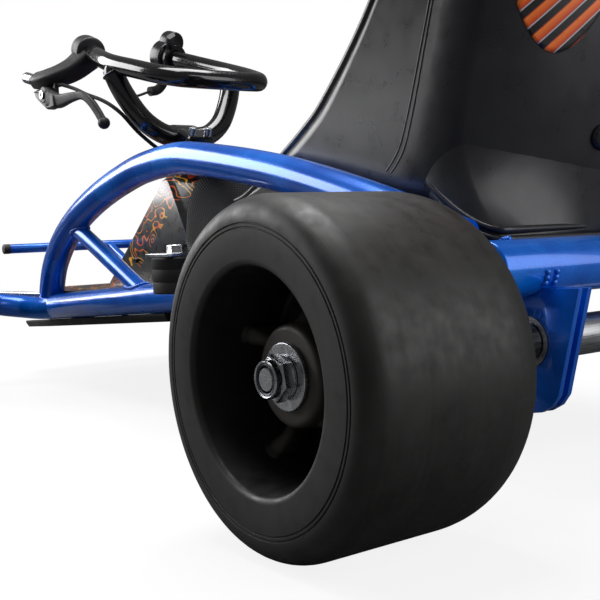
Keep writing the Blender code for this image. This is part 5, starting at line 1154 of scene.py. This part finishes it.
fin = shape_tool("fin_tool", (block((-0.0276, -0.0007, -0.003), (0.0276, 0.0007, 0.003), 0.0004), CAST))
place(make("controller_case", (block(at(0.185, 0.0, drop), at(0.255, 0.0902, drop + 0.034), 0.002), CAST),
           (block(at(0.205, 0.010, drop + 0.030), at(0.235, 0.048, drop + 0.036), 0.0012), BLACK_NYLON)),
      "frame", "cast_metal", "motor_controller")
fins = grown("controller_fins", ALONG, [at(0.220, y, drop + 0.0335) for y in (0.052, 0.089)], [(0, 1)],
             Pitch=0.005, Shape=fin, Scale=(1.0, 1.0, 1.0), Side=(1.0, 0.0, 0.0), Look=CAST)
place(fins, "frame", "cast_metal")
refined("power_switch", "power_switch", "red_plastic", RED_ABS, 0.4)

# %% [markdown]
# Underneath are a moulded skid pan and the flat foot panel; round the steering column stands the console
# cover. They are vacuum formed, so their edges are soft: the cover gets a radius of 1.1 mm.

# %% Pans, foot panel and console cover
refined("belly_pan", "frame", "black_plastic", BLACK_PE, 0.7)
refined("floor_panel", "frame", "black_plastic", CONTOUR, 0.6)
refined("console_cover", "frame", "black_plastic", COVER_PRINT, 1.1)
for name, sign in (("cover_screws", 1), ("cover_screws_right", -1)):
    screws(name, "frame", "zinc", SATIN_BLACK, [at(x, 0.0380 * sign, 0.150) for x in (0.600, 0.720)],
           (0, sign, 0), 0.0034)

# %% [markdown]
# The bucket seat is rotomoulded: one even wall, soft corners and a rolled rim. Its sections are the same as
# the solid's, read at many more places along a smooth curve, and a Solidify modifier gives the wall. The rim
# is a bead swept round the open edge. Modelling half and mirroring it would work too, but the sections are
# symmetric already.

# %% Seat shell
SEAT_WALL, SEAT_SECTIONS = 0.005, 111
SEAT_CORNER_UP, SEAT_BOW = 0.088, 0.050      # the corner's height up the wing, and the bow of the back
SIDE_CORNER, BACK_CORNER = 0.045, 0.011      # the corner's width below and behind
FLAT_STEPS, CORNER_STEPS, WING_STEPS = 8, 9, 8
SEAT_ROWS = [
    (0.400, 0.198, 0.404, 0.206, 0.120, 0.001), (0.360, 0.187, 0.380, 0.205, 0.126, 0.001),
    (0.300, 0.181, 0.350, 0.207, 0.128, 0.001), (0.200, 0.178, 0.320, 0.212, 0.128, 0.001),
    (0.100, 0.177, 0.290, 0.226, 0.128, 0.001), (0.050, 0.182, 0.253, 0.246, 0.128, 0.001),
    (0.022, 0.200, 0.222, 0.263, 0.128, 0.002), (0.006, 0.234, 0.195, 0.281, 0.128, 0.003),
    (-0.016, 0.310, 0.141, 0.330, 0.128, 0.006), (-0.039, 0.390, 0.085, 0.400, 0.128, 0.006),
    (-0.062, 0.470, 0.020, 0.478, 0.124, 0.004), (-0.080, 0.532, -0.040, 0.546, 0.110, 0.002),
    (-0.084, 0.560, -0.072, 0.566, 0.090, 0.001)]


def hermite(values, spot):
    """A value read from a list along a smooth curve."""
    i = min(int(spot), len(values) - 2)
    t = spot - i
    a, b, c, d = (values[max(0, min(len(values) - 1, j))] for j in (i - 1, i, i + 1, i + 2))
    return 0.5 * (2 * b + (c - a) * t + (2 * a - 5 * b + 4 * c - d) * t * t
                  + (3 * b - a - 3 * c + d) * t ** 3)


def seat_section(spot, flat_steps=FLAT_STEPS):
    """Half of one section of the bucket, from its middle out to the wing's edge."""
    low_x, low_z, edge_x, edge_z, half, flare = (hermite(column, spot) for column in zip(*SEAT_ROWS))
    base, edge = Vector((low_x, low_z)), Vector((edge_x, edge_z))
    height = (edge - base).length
    rise = (edge - base) / height
    back = min(1.0, max(0.0, (spot - 4.5) / 2.5))
    back = back * back * (3 - 2 * back)
    wide = SIDE_CORNER + (BACK_CORNER - SIDE_CORNER) * back
    corner, bow = min(SEAT_CORNER_UP, height * 0.8), min(SEAT_BOW * back, height * 0.4)
    flat = half - wide
    tangent = bow * (1 + 2 * wide / flat)
    points = [(flat * k / flat_steps, base + rise * bow * (k / flat_steps) ** 2)
              for k in range(flat_steps + 1)]
    for k in range(1, CORNER_STEPS + 1):
        t = k / CORNER_STEPS
        left = (1 - t) ** 2
        points.append((flat * left + half * (1 - left),
                       base + rise * (bow * left + tangent * 2 * t * (1 - t) + corner * t * t)))
    for k in range(1, WING_STEPS + 1):
        t = k / WING_STEPS
        points.append((half + flare * t, base + rise * (corner + (height - corner) * t)))
    return [at(p[0], -y, p[1]) for y, p in reversed(points[1:])] + [at(p[0], y, p[1]) for y, p in points]


rows = [seat_section((len(SEAT_ROWS) - 1) * k / (SEAT_SECTIONS - 1)) for k in range(SEAT_SECTIONS)]
seat = walled("seat_shell_moulded", rows, SEAT_PLASTIC, SEAT_WALL, True)
place(seat, "frame", "seat_plastic", "seat_shell")
rim = [row[-1] for row in rows] + list(reversed(rows[-1]))[1:] + [row[0] for row in reversed(rows)][1:] \
    + rows[0][1:-1]
rim_path = rim[::2]
bead = sweep(rim_path + rim_path[:2], circle(0.0036, 14), cap=False)
place(make("seat_rim_bead", (bead, SEAT_PLASTIC), sharp=80), "frame", "seat_plastic")
print("seat faces", len(seat.data.polygons))

# %% Seat decal, caps and the panel below the back
SEAT_INSIDE = at(0.10, 0, 0.40)


def back_point(spot, i, away, steps=FLAT_STEPS):
    """A point just outside the seat's shell, and the way it faces."""
    row, above = seat_section(spot, steps), seat_section(spot + 0.02, steps)
    normal = (above[i] - row[i]).cross(row[i + 1] - row[i - 1]).normalized()
    normal = normal if normal.dot(row[i] - SEAT_INSIDE) > 0 else -normal
    return row[i] + normal * away, normal


DECAL_STEPS, DECAL_TOP, LOBE_Y, LOBE_WIDE, BACK_FLAT = 32, 9.6, 0.076, 0.030, 0.117
middle = (len(seat_section(8.0, DECAL_STEPS)) - 1) // 2
columns = []
for i in range(middle - 28, middle + 29):
    from_lobe = (abs(i - middle) * BACK_FLAT / DECAL_STEPS - LOBE_Y) / LOBE_WIDE
    low = 7.75 + min(1.1, 0.5 * from_lobe ** 2)
    columns.append([back_point(low + (DECAL_TOP - low) * k / 40, i, 0.0029, DECAL_STEPS)[0]
                    for k in range(41)])
place(walled("seat_back_decal", columns, DECAL, 0.0003), "frame", "seat_plastic")
cap = [(0, -0.001), (0.010, -0.001), (0.010, 0.0012), (0.0075, 0.0034), (0.0035, 0.0040), (0, 0.0040)]
middle = len(rows[0]) // 2
shells = []
for i in (middle - 2, middle + 2):
    spot, normal = back_point(7.05, i, 0.0025)
    shells.append((lathe(cap, spot, normal, 40, 0.0005), SATIN_NYLON))
place(make("seat_back_caps", *shells), "frame", "black_plastic")
top_row = [back_point(7.1, middle + k, -0.0012)[0] for k in range(FLAT_STEPS + CORNER_STEPS + 1)]
low_row = [at(0.0235, 0.113 * k / FLAT_STEPS, 0.1655) for k in range(FLAT_STEPS + 1)]
low_row += [at(0.0235 + 0.058 * (1 - math.cos(a)), 0.113 + 0.0125 * math.sin(a),
               0.1655 + 0.034 * (1 - math.cos(a)) ** 1.5)
            for a in [math.pi / 2 * k / CORNER_STEPS for k in range(1, CORNER_STEPS + 1)]]
slope = Vector((0.29, 0, -1.0)).normalized() * 0.040
grid = []
for top, low in zip(top_row, low_row):
    bend = top + slope
    grid.append([top * (1 - t) ** 2 + bend * 2 * t * (1 - t) + low * t * t
                 for t in [k / 12 for k in range(13)]])
grid = [flip(column, -1) for column in reversed(grid[1:])] + grid
place(walled("seat_skirt_moulded", grid, SEAT_PLASTIC, 0.003), "frame", "seat_plastic")
foot_line = smooth_path([column[-1] for column in grid], 0.006)
shells = [(sweep([p + UP * z for p in foot_line], circle(0.0026, 14), UP), SEAT_PLASTIC)
          for z in (0.002, 0.0085)]
for sign in (1, -1):
    index = middle + sign * (FLAT_STEPS + CORNER_STEPS)
    for share in (0.25, 0.6):
        line = [back_point(spot, index, 0.0025)[0].lerp(back_point(spot, index + sign, 0.0025)[0], share)
                for spot in [5.6 + 6.2 * k / 60 for k in range(61)]]
        shells.append((sweep(smooth_path(line, 0.01), circle(0.0006, 8)), SEAT_PLASTIC))
place(make("seat_ribs_moulded", *shells, sharp=60), "frame", "seat_plastic")
refined("seat_frame", "frame", "black_paint", SATIN_BLACK, 0.5)
screws("seat_screws", "frame", "zinc", ZINC,
       [at(x, y, z) for x, z in ((0.085, 0.181), (0.315, 0.1845)) for y in (0.075, -0.075)],
       (0, 0, 1), 0.0060)
print("decal columns", len(columns))

# %% [markdown]
# The lap belt's two halves run from steel tabs beside the rails up past the wings to a push-button buckle.
# Webbing is a thin flat band, so an outline is swept along the same line as its solid, and the strap's UV map
# is written in metres from the same walk. The band is held all the way, so it isn't a loose cord or sheet.

# %% Lap belt
ANCHOR, BELT_LEAN = (0.381, 0.170, 0.126), math.radians(20)
BELT_ROUTE = [(-0.0120, 0.1530, 0.1648), (-0.0100, 0.1480, 0.1650), (-0.0095, 0.1445, 0.1690),
              (-0.0125, 0.1445, 0.1830), (-0.0190, 0.1455, 0.1990), (-0.0270, 0.1425, 0.2130),
              (-0.0390, 0.1325, 0.2205), (-0.0500, 0.1145, 0.2195), (-0.0570, 0.0900, 0.2105),
              (-0.0620, 0.0650, 0.2015), (-0.0640, 0.0480, 0.1978), (-0.0640, 0.0360, 0.1972),
              (-0.0640, 0.0195, 0.1972)]


def strap(name, path, side, width, thick):
    outline = [(width * (k / 12 - 0.5), thick * (0.5 if 0 < k < 12 else 0.2)) for k in range(13)]
    outline += [(u, -v) for u, v in reversed(outline)]
    points, faces = sweep(path, outline, side)
    mesh = bpy.data.meshes.new(name)
    mesh.from_pydata([tuple(p) for p in points], [], faces)
    lengths = [0.0]
    for before, after in zip(path, path[1:]):
        lengths.append(lengths[-1] + (after - before).length)
    layer = mesh.uv_layers.new(name="strap")
    for loop in mesh.loops:
        ring, k = divmod(loop.vertex_index, len(outline))
        layer.data[loop.index].uv = (outline[k][0], lengths[ring])
    mesh.materials.append(WEBBING)
    piece = bpy.data.objects.new(name, mesh)
    bpy.context.collection.objects.link(piece)
    shape = bmesh.new()
    shape.from_mesh(mesh)
    bmesh.ops.recalc_face_normals(shape, faces=shape.faces)
    shape.to_mesh(mesh)
    shape.free()
    mesh.shade_smooth()
    mesh.set_sharp_from_angle(angle=math.radians(50))
    return piece


spacer = [(0, 0), (0.0205, 0), (0.022, 0.0015), (0.022, 0.010), (0.0214, 0.011), (0.022, 0.012),
          (0.022, 0.022), (0.0214, 0.023), (0.022, 0.024), (0.022, 0.0325), (0.0205, 0.034), (0, 0.034)]
for side, sign in SIDES:
    path = smooth_path([at(ANCHOR[0] + x, y * sign, z) for x, y, z in BELT_ROUTE], 0.004)
    lean = AHEAD * math.cos(BELT_LEAN) + ACROSS * sign * math.sin(BELT_LEAN)
    place(strap("belt_strap_woven_" + side, path, lean, 0.048, 0.0018), "frame", "webbing",
          "belt_strap_" + side)
    foot = at(ANCHOR[0], ANCHOR[1] * sign, ANCHOR[2])
    place(make("belt_spacer_moulded_" + side, (lathe(spacer, foot, UP, 64), RUBBER)), "frame", "rubber",
          "belt_spacer_" + side)
    refined("belt_tab_" + side, "frame", "zinc", ZINC, 0.5)
refined("belt_buckle", "frame", "black_plastic", BLACK_NYLON, 0.8)
refined("buckle_button", "buckle_button", "red_plastic", RED_ABS, 0.5)
print("belt path", len(path), "rings")

# %% [markdown]
# Steering: a column in two bearings, an arm below it, two tie rods with eyes and the two knuckles. The parts
# are turned and drawn steel, some painted black. The rods get hexagon flats.

# %% Column, tie rods and knuckles
PITMAN, EYE_HALF, ROD_GAP = 0.046, 0.004, 0.0003
outline = [(-0.010, 0.012), (PITMAN * 0.6, 0.012), (PITMAN - 0.004, 0.018), (PITMAN + 0.006, 0.018)]
outline = rounded(outline + [(ahead, -y) for ahead, y in reversed(outline)], 0.004)
shells = [(lathe(cylinder(COLUMN_R, 0.004, 0.218), column_point(0), COLUMN_AXIS, 64, 0.0008), STEEL),
          (plate(outline, column_point(0.005), COLUMN_AXIS, 0.005, COLUMN_FORWARD), STEEL)]


def pitman_end(sign):
    return column_point(0.005 - EYE_HALF - ROD_GAP) + COLUMN_FORWARD * PITMAN + ACROSS * 0.012 * sign


def knuckle_end(sign):
    return at(0.860, sign * KINGPIN_Y, 0.107 + 0.005 + 0.0023 + EYE_HALF)


for _, sign in SIDES:
    spot = pitman_end(sign)
    shells.append((rod(spot - COLUMN_AXIS * 0.0055, spot + COLUMN_AXIS * 0.006, 0.003, 20), ZINC))
place(make("steering_column_turned", *shells), "steering", "steel", "steering_column")
for side, sign in SIDES:
    start, stop = pitman_end(sign), knuckle_end(sign)
    way = (stop - start).normalized()
    shells = [(rod(start + way * 0.0066, stop - way * 0.0088, 0.004, 28, 0.0), ZINC),
              (lathe(pipe(0.0033, 0.0080, -EYE_HALF, EYE_HALF), start, COLUMN_AXIS, 40, 0.0007), ZINC),
              (lathe(pipe(0.0058, 0.0105, -EYE_HALF, EYE_HALF), stop, UP, 40, 0.0007), ZINC)]
    for spot in (start + way * 0.014, stop - way * 0.020):
        shells.append((lathe(cylinder(0.0062, 0, 0.005), spot, way, 6, 0.0003), ZINC))
    place(make("tie_rod_turned_" + side, *shells, sharp=28), "tie_rod_" + side, "zinc", "tie_rod_" + side)
    refined("knuckle_" + side, "knuckle_" + side, "steel", STEEL, 0.5)

# %% [markdown]
# The front wheels are small pneumatic tyres on painted rims. The tyre's round section is turned; its tread
# is three rows of blocks, laid round it by the line tree. The rim keeps its solid with the four holes and
# gets smooth lips.

# %% Front wheels
FRONT_WHEEL_Y, FRONT_WHEEL_Z, BLOCKS_ROUND = 0.296, 0.127, 60
corner = Vector((0.0055, 0.0016, 0.0042))
blocks = shape_tool("tread_block_tool", (block(-corner, corner, 0.0006), TYRE))
profile = [(0.0783, -0.020)]
for k in range(33):
    a = math.radians(-78 + 156 * k / 32)
    profile.append((0.090 + 0.0358 * math.cos(a) ** 0.6, 0.030 * math.sin(a)))
profile.append((0.0783, 0.020))
for side, sign in SIDES:
    centre, axis = at(FRONT_AXLE, FRONT_WHEEL_Y * sign, FRONT_WHEEL_Z), ACROSS * sign
    tyre = make("front_tyre_turned_" + side, (lathe(profile, centre, axis, 96), TYRE))
    place(tyre, "front_wheel_" + side, "tyre", "front_tyre_" + side)
    points, edges = [], []
    for offset, shift, radius in ((-0.0145, 0.0, 0.1240), (0.0, 0.5, 0.1256), (0.0145, 0.0, 0.1240)):
        first = len(points)
        points += [centre + axis * offset + spoke(a, radius)
                   for a in turns(BLOCKS_ROUND, shift * 2 * math.pi / BLOCKS_ROUND)]
        edges += [(first + k, first + (k + 1) % BLOCKS_ROUND) for k in range(BLOCKS_ROUND)]
    pitch = (points[1] - points[0]).length
    tread = grown("front_tread_" + side, ALONG, points, edges, Pitch=pitch * 0.9999, Shape=blocks,
                  Scale=(1.0, 1.0, 1.0), Side=(0.0, 1.0, 0.0), Look=TYRE)
    place(tread, "front_wheel_" + side, "tyre")
    refined("front_rim_" + side, "front_wheel_" + side, "black_paint", GLOSS_BLACK, 0.4)
    lips = []
    for h in (1, -1):
        low, high = sorted((h * 0.0150, h * 0.0202))
        lips.append((lathe(pipe(0.0692, 0.0786, low, high), centre, axis, 96, 0.0018), GLOSS_BLACK))
    place(make("front_rim_lips_" + side, *lips), "front_wheel_" + side, "black_paint")
    screws("front_hub_screws_" + side, "front_wheel_" + side, "zinc", ZINC,
           [centre + axis * 0.0240 + spoke(a, 0.0145) for a in turns(4)], (0, sign, 0), 0.0024)
print("tread blocks", BLOCKS_ROUND * 3 * 2)

# %% [markdown]
# The handlebar is one bent loop of tube with a U of two legs welded below it and held in a clamp on the
# column's top. Both follow the solid's lines. The clamp is a machined block, gloss black, with two zinc
# socket bolts.

# %% Handlebar and clamp
BAR_R, LEG_R = 0.011, 0.0125
LOOP_HALF = spots_at((0.800, 0.0565, 0.4295), (0.760, 0.063, 0.4170), (0.715, 0.075, 0.4025),
                     (0.672, 0.081, 0.3895), (0.625, 0.076, 0.3765), (0.590, 0.069, 0.3665),
                     (0.566, 0.058, 0.3600), (0.554, 0.038, 0.3570))
LEG_HALF = spots_at((0.668, 0.084, 0.380), (0.660, 0.074, 0.352), (0.651, 0.056, 0.322),
                    (0.645, 0.034, 0.305), (0.643, 0.014, 0.3005))
loop_line = smooth_path(LOOP_HALF + [mirrored(p) for p in reversed(LOOP_HALF)])
inside_loop = at(0.6708, 0.0818, 0.3885)
leg_line = smooth_path(LEG_HALF + [mirrored(p) for p in reversed(LEG_HALF)])
leg_line = [inside_loop] + leg_line + [mirrored(inside_loop)]
swell = [0.6, 0.9] + [1.0] * (len(leg_line) - 4) + [0.9, 0.6]
shells = [(sweep(loop_line, circle(BAR_R, 36)), GLOSS_BLACK),
          (sweep(leg_line, circle(LEG_R, 36), sizes=swell), GLOSS_BLACK)]
plug = [(0, -0.004), (0.0108, -0.004), (0.0108, 0.0010), (0.009, 0.0022), (0, 0.0026)]
for _, sign in SIDES:
    near, back = flip(LOOP_HALF[:2], sign)
    shells.append((lathe(plug, near, (near - back).normalized(), 40, 0.0005), BLACK_NYLON))
place(make("handlebar_bent", *shells), "steering", "black_paint", "handlebar")
loops = []
for _, sign in SIDES:
    foot, knee = flip(LEG_HALF[:2], sign)
    down, first, second = basis(knee - foot)
    loops.append(([foot + down * 0.0035 + (first * math.cos(a) + second * math.sin(a)) * (LEG_R + 0.0002)
                   for a in turns(40)], True))
weld("handlebar_weld_beads", "steering", "black_paint", GLOSS_BLACK, loops, 0.0016)
outline = rounded([(-0.0195, -0.019), (0.0345, -0.019), (0.0345, 0.019), (-0.0195, 0.019)], 0.006, 6)
shells = [(plate(outline, column_point(0.196), COLUMN_AXIS, 0.0470, COLUMN_FORWARD, 0.0022), GLOSS_BLACK)]
bolt = [(0, -0.004), (0.0048, -0.004), (0.0048, 0.0075), (0.0040, 0.0085), (0.0028, 0.0085),
        (0.0025, 0.0045), (0, 0.0045)]
for _, sign in SIDES:
    spot = column_point(0.2445) - COLUMN_FORWARD * 0.0115 + ACROSS * 0.0105 * sign
    shells.append((lathe(bolt, spot, COLUMN_AXIS, 32, 0.0003), ZINC))
place(make("stem_clamp_machined", *shells), "steering", "black_paint", "stem_clamp")

# %% [markdown]
# The brake lever's mount is matt moulded nylon: a ring round the bar, an arm that bends down to the pivot,
# and a bright adjuster where the cable leaves. The blade thins towards its ball tip.

# %% Brake lever
back = (LOOP_HALF[1] - LOOP_HALF[0]).normalized()
spot = LOOP_HALF[0] + back * 0.014
nose, tip = at(0.838, 0.112, 0.3915), at(0.872, 0.112, 0.4005)
body = smooth_path(spots_at((0.782, 0.062, 0.4160), (0.788, 0.080, 0.4010), (0.798, 0.096, 0.3930),
                            (0.816, 0.108, 0.3900)) + [nose], 0.004)
widths = [1.32 - 0.56 * k / (len(body) - 1) for k in range(len(body))]
away, reach = (tip - nose).normalized(), (tip - nose).length
barrel = [(0, -0.008), (0.0045, -0.008), (0.0045, 0.001), (0.0075, 0.002)]
for k in range(6):
    h = 0.004 + k * 0.0036
    barrel += [(0.0075, h), (0.0075, h + 0.0022), (0.0069, h + 0.0026), (0.0069, h + 0.0032)]
barrel += [(0.0075, reach - 0.004), (0.0055, reach), (0.0030, reach), (0, reach)]
pivot = at(0.8036, 0.112, 0.3680)
pin = [(0, -0.0100), (0.003, -0.0100), (0.003, 0.0063), (0.0055, 0.0063), (0.0055, 0.0085),
       (0.0030, 0.0085), (0.0026, 0.0070), (0, 0.0070)]
mount = make("brake_lever_mount_moulded",
             (lathe(cylinder(0.0192, -0.016, 0.015), spot, back, 64, 0.003), BLACK_NYLON),
             (sweep(body, rectangle(0.022, 0.026, 0.006), ACROSS, sizes=widths), BLACK_NYLON),
             (block(pivot + Vector((-0.011, -0.0128, -0.009)), pivot + Vector((0.015, -0.0068, 0.022)),
                    0.0022), BLACK_NYLON),
             (lathe(barrel, nose, away, 36), ZINC), (lathe(pin, pivot, ACROSS, 28), ZINC))
place(mount, "steering", "black_plastic", "brake_lever_mount")
blade_tip = at(0.690, 0.088, 0.3203)
blade = smooth_path([pivot + Vector((-0.010, 0, -0.006))] + spots_at(
    (0.772, 0.109, 0.3565), (0.745, 0.104, 0.3580), (0.723, 0.099, 0.3575), (0.709, 0.095, 0.3480),
    (0.699, 0.091, 0.3345)) + [blade_tip], 0.005)
sizes = [0.92 + 1.05 * max(0.0, 1 - 1.9 * k / (len(blade) - 1)) ** 1.2 for k in range(len(blade))]
root_view = rounded([(0.838, 0.3780), (0.832, 0.3660), (0.800, 0.3490), (0.786, 0.3470), (0.770, 0.3480),
                     (0.772, 0.3650), (0.790, 0.3700), (0.806, 0.3780)], 0.004, 4)
ball = arc((0, 0), (0.0075, 0.0075), -90, 90, 18)
lever = make("brake_lever_forged",
             (lathe(pipe(0.0033, 0.0105, -0.006, 0.006), pivot, ACROSS, 48, 0.001), BLACK_NYLON),
             (sweep(blade, rectangle(0.0070, 0.0115, 0.0030), ACROSS, sizes=sizes), BLACK_NYLON),
             (plate([(x - AXLE_BACK, z) for x, z in root_view], ACROSS * 0.1170, -ACROSS, 0.0100, AHEAD,
                    0.003), BLACK_NYLON),
             (lathe(ball, blade_tip, ACROSS, 28), BLACK_NYLON))
place(lever, "brake_lever", "black_plastic", "brake_lever")

# %% Throttle
grip = mirrored(LOOP_HALF[0])
back = (mirrored(LOOP_HALF[1]) - grip).normalized()
spot = grip + back * 0.013
rise = (UP - back * back.z).normalized()
inboard = back.cross(rise)
inboard = inboard if inboard.y > 0 else -inboard
tail_line = [spot - rise * 0.012, spot - rise * 0.032, spot - rise * 0.045 + inboard * 0.008,
             spot - rise * 0.049 + inboard * 0.022]
tail = smooth_path(tail_line, 0.003)
housing = make("throttle_housing_moulded",
               (lathe(cylinder(0.0225, -0.011, 0.011), spot, back, 64, 0.0025), SATIN_NYLON),
               (lathe(cylinder(0.015, -0.009, 0.009), spot + rise * 0.020 - inboard * 0.004, back, 48,
                      0.0025), SATIN_NYLON),
               (sweep(tail, circle(0.0065, 28)), RUBBER))
place(housing, "steering", "black_plastic", "throttle_housing")
middle = spot + back * 0.0154
push = (rise * 0.85 + inboard * 0.55).normalized()
paddle = make("throttle_paddle_moulded",
              (lathe(pipe(0.0116, 0.0185, 0.0114, 0.0194), spot, back, 56, 0.001), SATIN_NYLON),
              (sweep(smooth_path([middle + push * 0.013, middle + push * 0.025 + back * 0.004,
                                  middle + push * 0.036 + back * 0.012], 0.003),
                     rectangle(0.012, 0.0065, 0.0026), push.cross(back)), SATIN_NYLON))
place(paddle, "throttle_paddle", "black_plastic", "throttle_paddle")

# %% [markdown]
# Two cables run from the handlebar down the column and along the left rail, held all the way, so neither is
# a free cord. They cross the steering joint; each is one swept piece that rides on no body.

# %% Cables


def rail_side(ahead, degrees, radius):
    """A spot on the left rail's inner side, at an angle up from level."""
    away, turned_by = RAIL_R + GAP + radius, math.radians(degrees)
    x = at(ahead, 0, 0).x
    before, after = next(pair for pair in zip(rail_line, rail_line[1:]) if pair[1].x >= x)
    on_rail = before.lerp(after, (x - before.x) / (after.x - before.x))
    return on_rail + (UP * math.sin(turned_by) - ACROSS * math.cos(turned_by)) * away


brake_route = spots_at(
    (0.7905, 0.1015, 0.380), (0.784, 0.0985, 0.3790), (0.766, 0.0900, 0.3720), (0.742, 0.0850, 0.3620),
    (0.712, 0.0810, 0.3520), (0.689, 0.0780, 0.3420), (0.6730, 0.0710, 0.3290), (0.6660, 0.0560, 0.3090),
    (0.6600, 0.0400, 0.2930), (0.6560, 0.0275, 0.2820))
brake_route += [column_point(k) + ACROSS * 0.0227 for k in (0.200, 0.170, 0.130)]
brake_route += spots_at(
    (0.660, 0.0210, 0.163), (0.635, 0.0160, 0.140), (0.606, 0.0100, 0.1260), (0.575, 0.0080, 0.1197),
    (0.545, 0.0080, 0.1197), (0.520, 0.0130, 0.122), (0.485, 0.0480, 0.130), (0.456, 0.0980, 0.1325),
    (0.438, 0.1225, 0.1305))
brake_route += [rail_side(x, 30.0, 0.0022) for x in (0.415, 0.39, 0.35, 0.29, 0.22)]
brake_route += spots_at((0.180, 0.1270, 0.134), (0.155, 0.1320, 0.112), (0.130, 0.1500, 0.092),
                        (0.105, 0.1690, 0.087), (0.0734, 0.1800, 0.090))
lead_route = [tail_line[-1] + (tail_line[-1] - tail_line[-2]).normalized() * 0.0003]
lead_route += spots_at(
    (0.800, -0.0150, 0.372), (0.783, 0.0080, 0.367), (0.755, 0.0350, 0.363), (0.722, 0.0560, 0.361),
    (0.695, 0.0675, 0.360), (0.6765, 0.0670, 0.3535), (0.6680, 0.0500, 0.3270), (0.6640, 0.0280, 0.3170))
lead_route += [column_point(k) + COLUMN_FORWARD * w for k, w in
               ((0.236, 0.0375), (0.212, 0.0375), (0.191, 0.0375), (0.174, 0.0209), (0.150, 0.0209))]
lead_route += spots_at(
    (0.690, -0.0080, 0.196), (0.684, -0.0185, 0.166), (0.655, -0.0190, 0.142), (0.615, -0.0130, 0.127),
    (0.578, -0.0080, 0.1197), (0.545, -0.0080, 0.1197), (0.515, 0.0000, 0.120), (0.480, 0.0420, 0.120),
    (0.454, 0.0950, 0.1180), (0.432, 0.1210, 0.1175))
lead_route += [rail_side(x, 0.0, 0.0021) for x in (0.405, 0.38, 0.35, 0.32, 0.29, 0.265)]
lead_route += spots_at((0.243, 0.1240, 0.122), (0.228, 0.1130, 0.098), (0.222, 0.1000, 0.082),
                       (0.222, 0.0914, 0.078))
for name, node, route, radius in (("brake_cable_sheathed", "brake_cable", brake_route, 0.0024),
                                  ("throttle_lead_sheathed", "throttle_lead", lead_route, 0.0018)):
    cable = make(name, (sweep(smooth_path(route, 0.005), circle(radius, 16)), RUBBER), sharp=60)
    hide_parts(node)
    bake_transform(cable)
    total["pieces"] += 1
    print(name, "faces", len(cable.data.polygons))

# %% [markdown]
# The studio: a large softbox overhead, one at the front left and one behind. Nothing lights the
# kart from behind the camera, so surfaces that face it turn dark between two bright ones, as on the seat's
# corner. The floor and the world show white to the camera only; the floor keeps a faint shadow.

# %% Floor, lights and world
for tool in TOOLS:
    bpy.data.objects.remove(tool)

floor_look = bpy.data.materials.new("pale_studio_floor")
floor_look.use_nodes = True
tree = floor_look.node_tree
tree.nodes.clear()
seen = add(tree, "ShaderNodeLightPath").outputs["Is Camera Ray"]
tone = mixed(tree, seen, "#6E6E6E", "#F4F4F4")
diffuse = add(tree, "ShaderNodeBsdfDiffuse", {"Color": tone}).outputs[0]
glow = add(tree, "ShaderNodeEmission", {"Color": (1, 1, 1, 1), "Strength": 1.0}).outputs[0]
distance = add(tree, "ShaderNodeVectorMath", {0: object_space(tree)}, operation="LENGTH").outputs["Value"]
fade = spread(tree, distance, 0.86, 1.0, 0.6, 1.5)
share = add(tree, "ShaderNodeMath", {0: seen, 1: fade}, operation="MULTIPLY").outputs[0]
both = add(tree, "ShaderNodeMixShader", {0: share, 1: diffuse, 2: glow}).outputs[0]
add(tree, "ShaderNodeOutputMaterial", {"Surface": both})
shape = bmesh.new()
bmesh.ops.create_grid(shape, x_segments=1, y_segments=1, size=6.0)
mesh = bpy.data.meshes.new("floor")
shape.to_mesh(mesh)
shape.free()
mesh.materials.append(floor_look)
ground = bpy.data.objects.new("floor", mesh)
bpy.context.collection.objects.link(ground)


def softbox(name, spot, target, size, power):
    data = bpy.data.lights.new(name, "AREA")
    data.shape, data.size, data.size_y, data.energy = "RECTANGLE", *size, power
    lamp = bpy.data.objects.new(name, data)
    way = Vector(target) - Vector(spot)
    lamp.matrix_world = Matrix.Translation(spot) @ way.to_track_quat("-Z", "Y").to_matrix().to_4x4()
    bpy.context.collection.objects.link(lamp)
    return lamp


softbox("overhead_softbox", (0.1, 0.0, 1.8), (0, 0, 0.2), (1.6, 1.0), 40)
softbox("front_left_softbox", (1.9, 1.15, 1.1), (0.0, 0.05, 0.3), (1.6, 1.3), 46)
softbox("rear_softbox", (-1.25, -0.35, 0.60), (-0.40, -0.35, 0.60), (1.2, 0.94), 8)

world = bpy.data.worlds.new("studio")
scene.world = world
world.use_nodes = True
tree = world.node_tree
tree.nodes.clear()
rays = add(tree, "ShaderNodeLightPath").outputs
seen = add(tree, "ShaderNodeMath", {0: rays["Is Camera Ray"], 1: rays["Is Transmission Ray"]},
           operation="MAXIMUM").outputs[0]
plain = add(tree, "ShaderNodeBackground", {"Color": (1, 1, 1, 1), "Strength": 0.14}).outputs[0]
white = add(tree, "ShaderNodeBackground", {"Color": (1, 1, 1, 1), "Strength": 1.0}).outputs[0]
add(tree, "ShaderNodeOutputWorld", {"Surface": add(tree, "ShaderNodeMixShader",
                                                   {0: seen, 1: plain, 2: white}).outputs[0]})
print("pieces", total["pieces"], "triangles", total["triangles"])
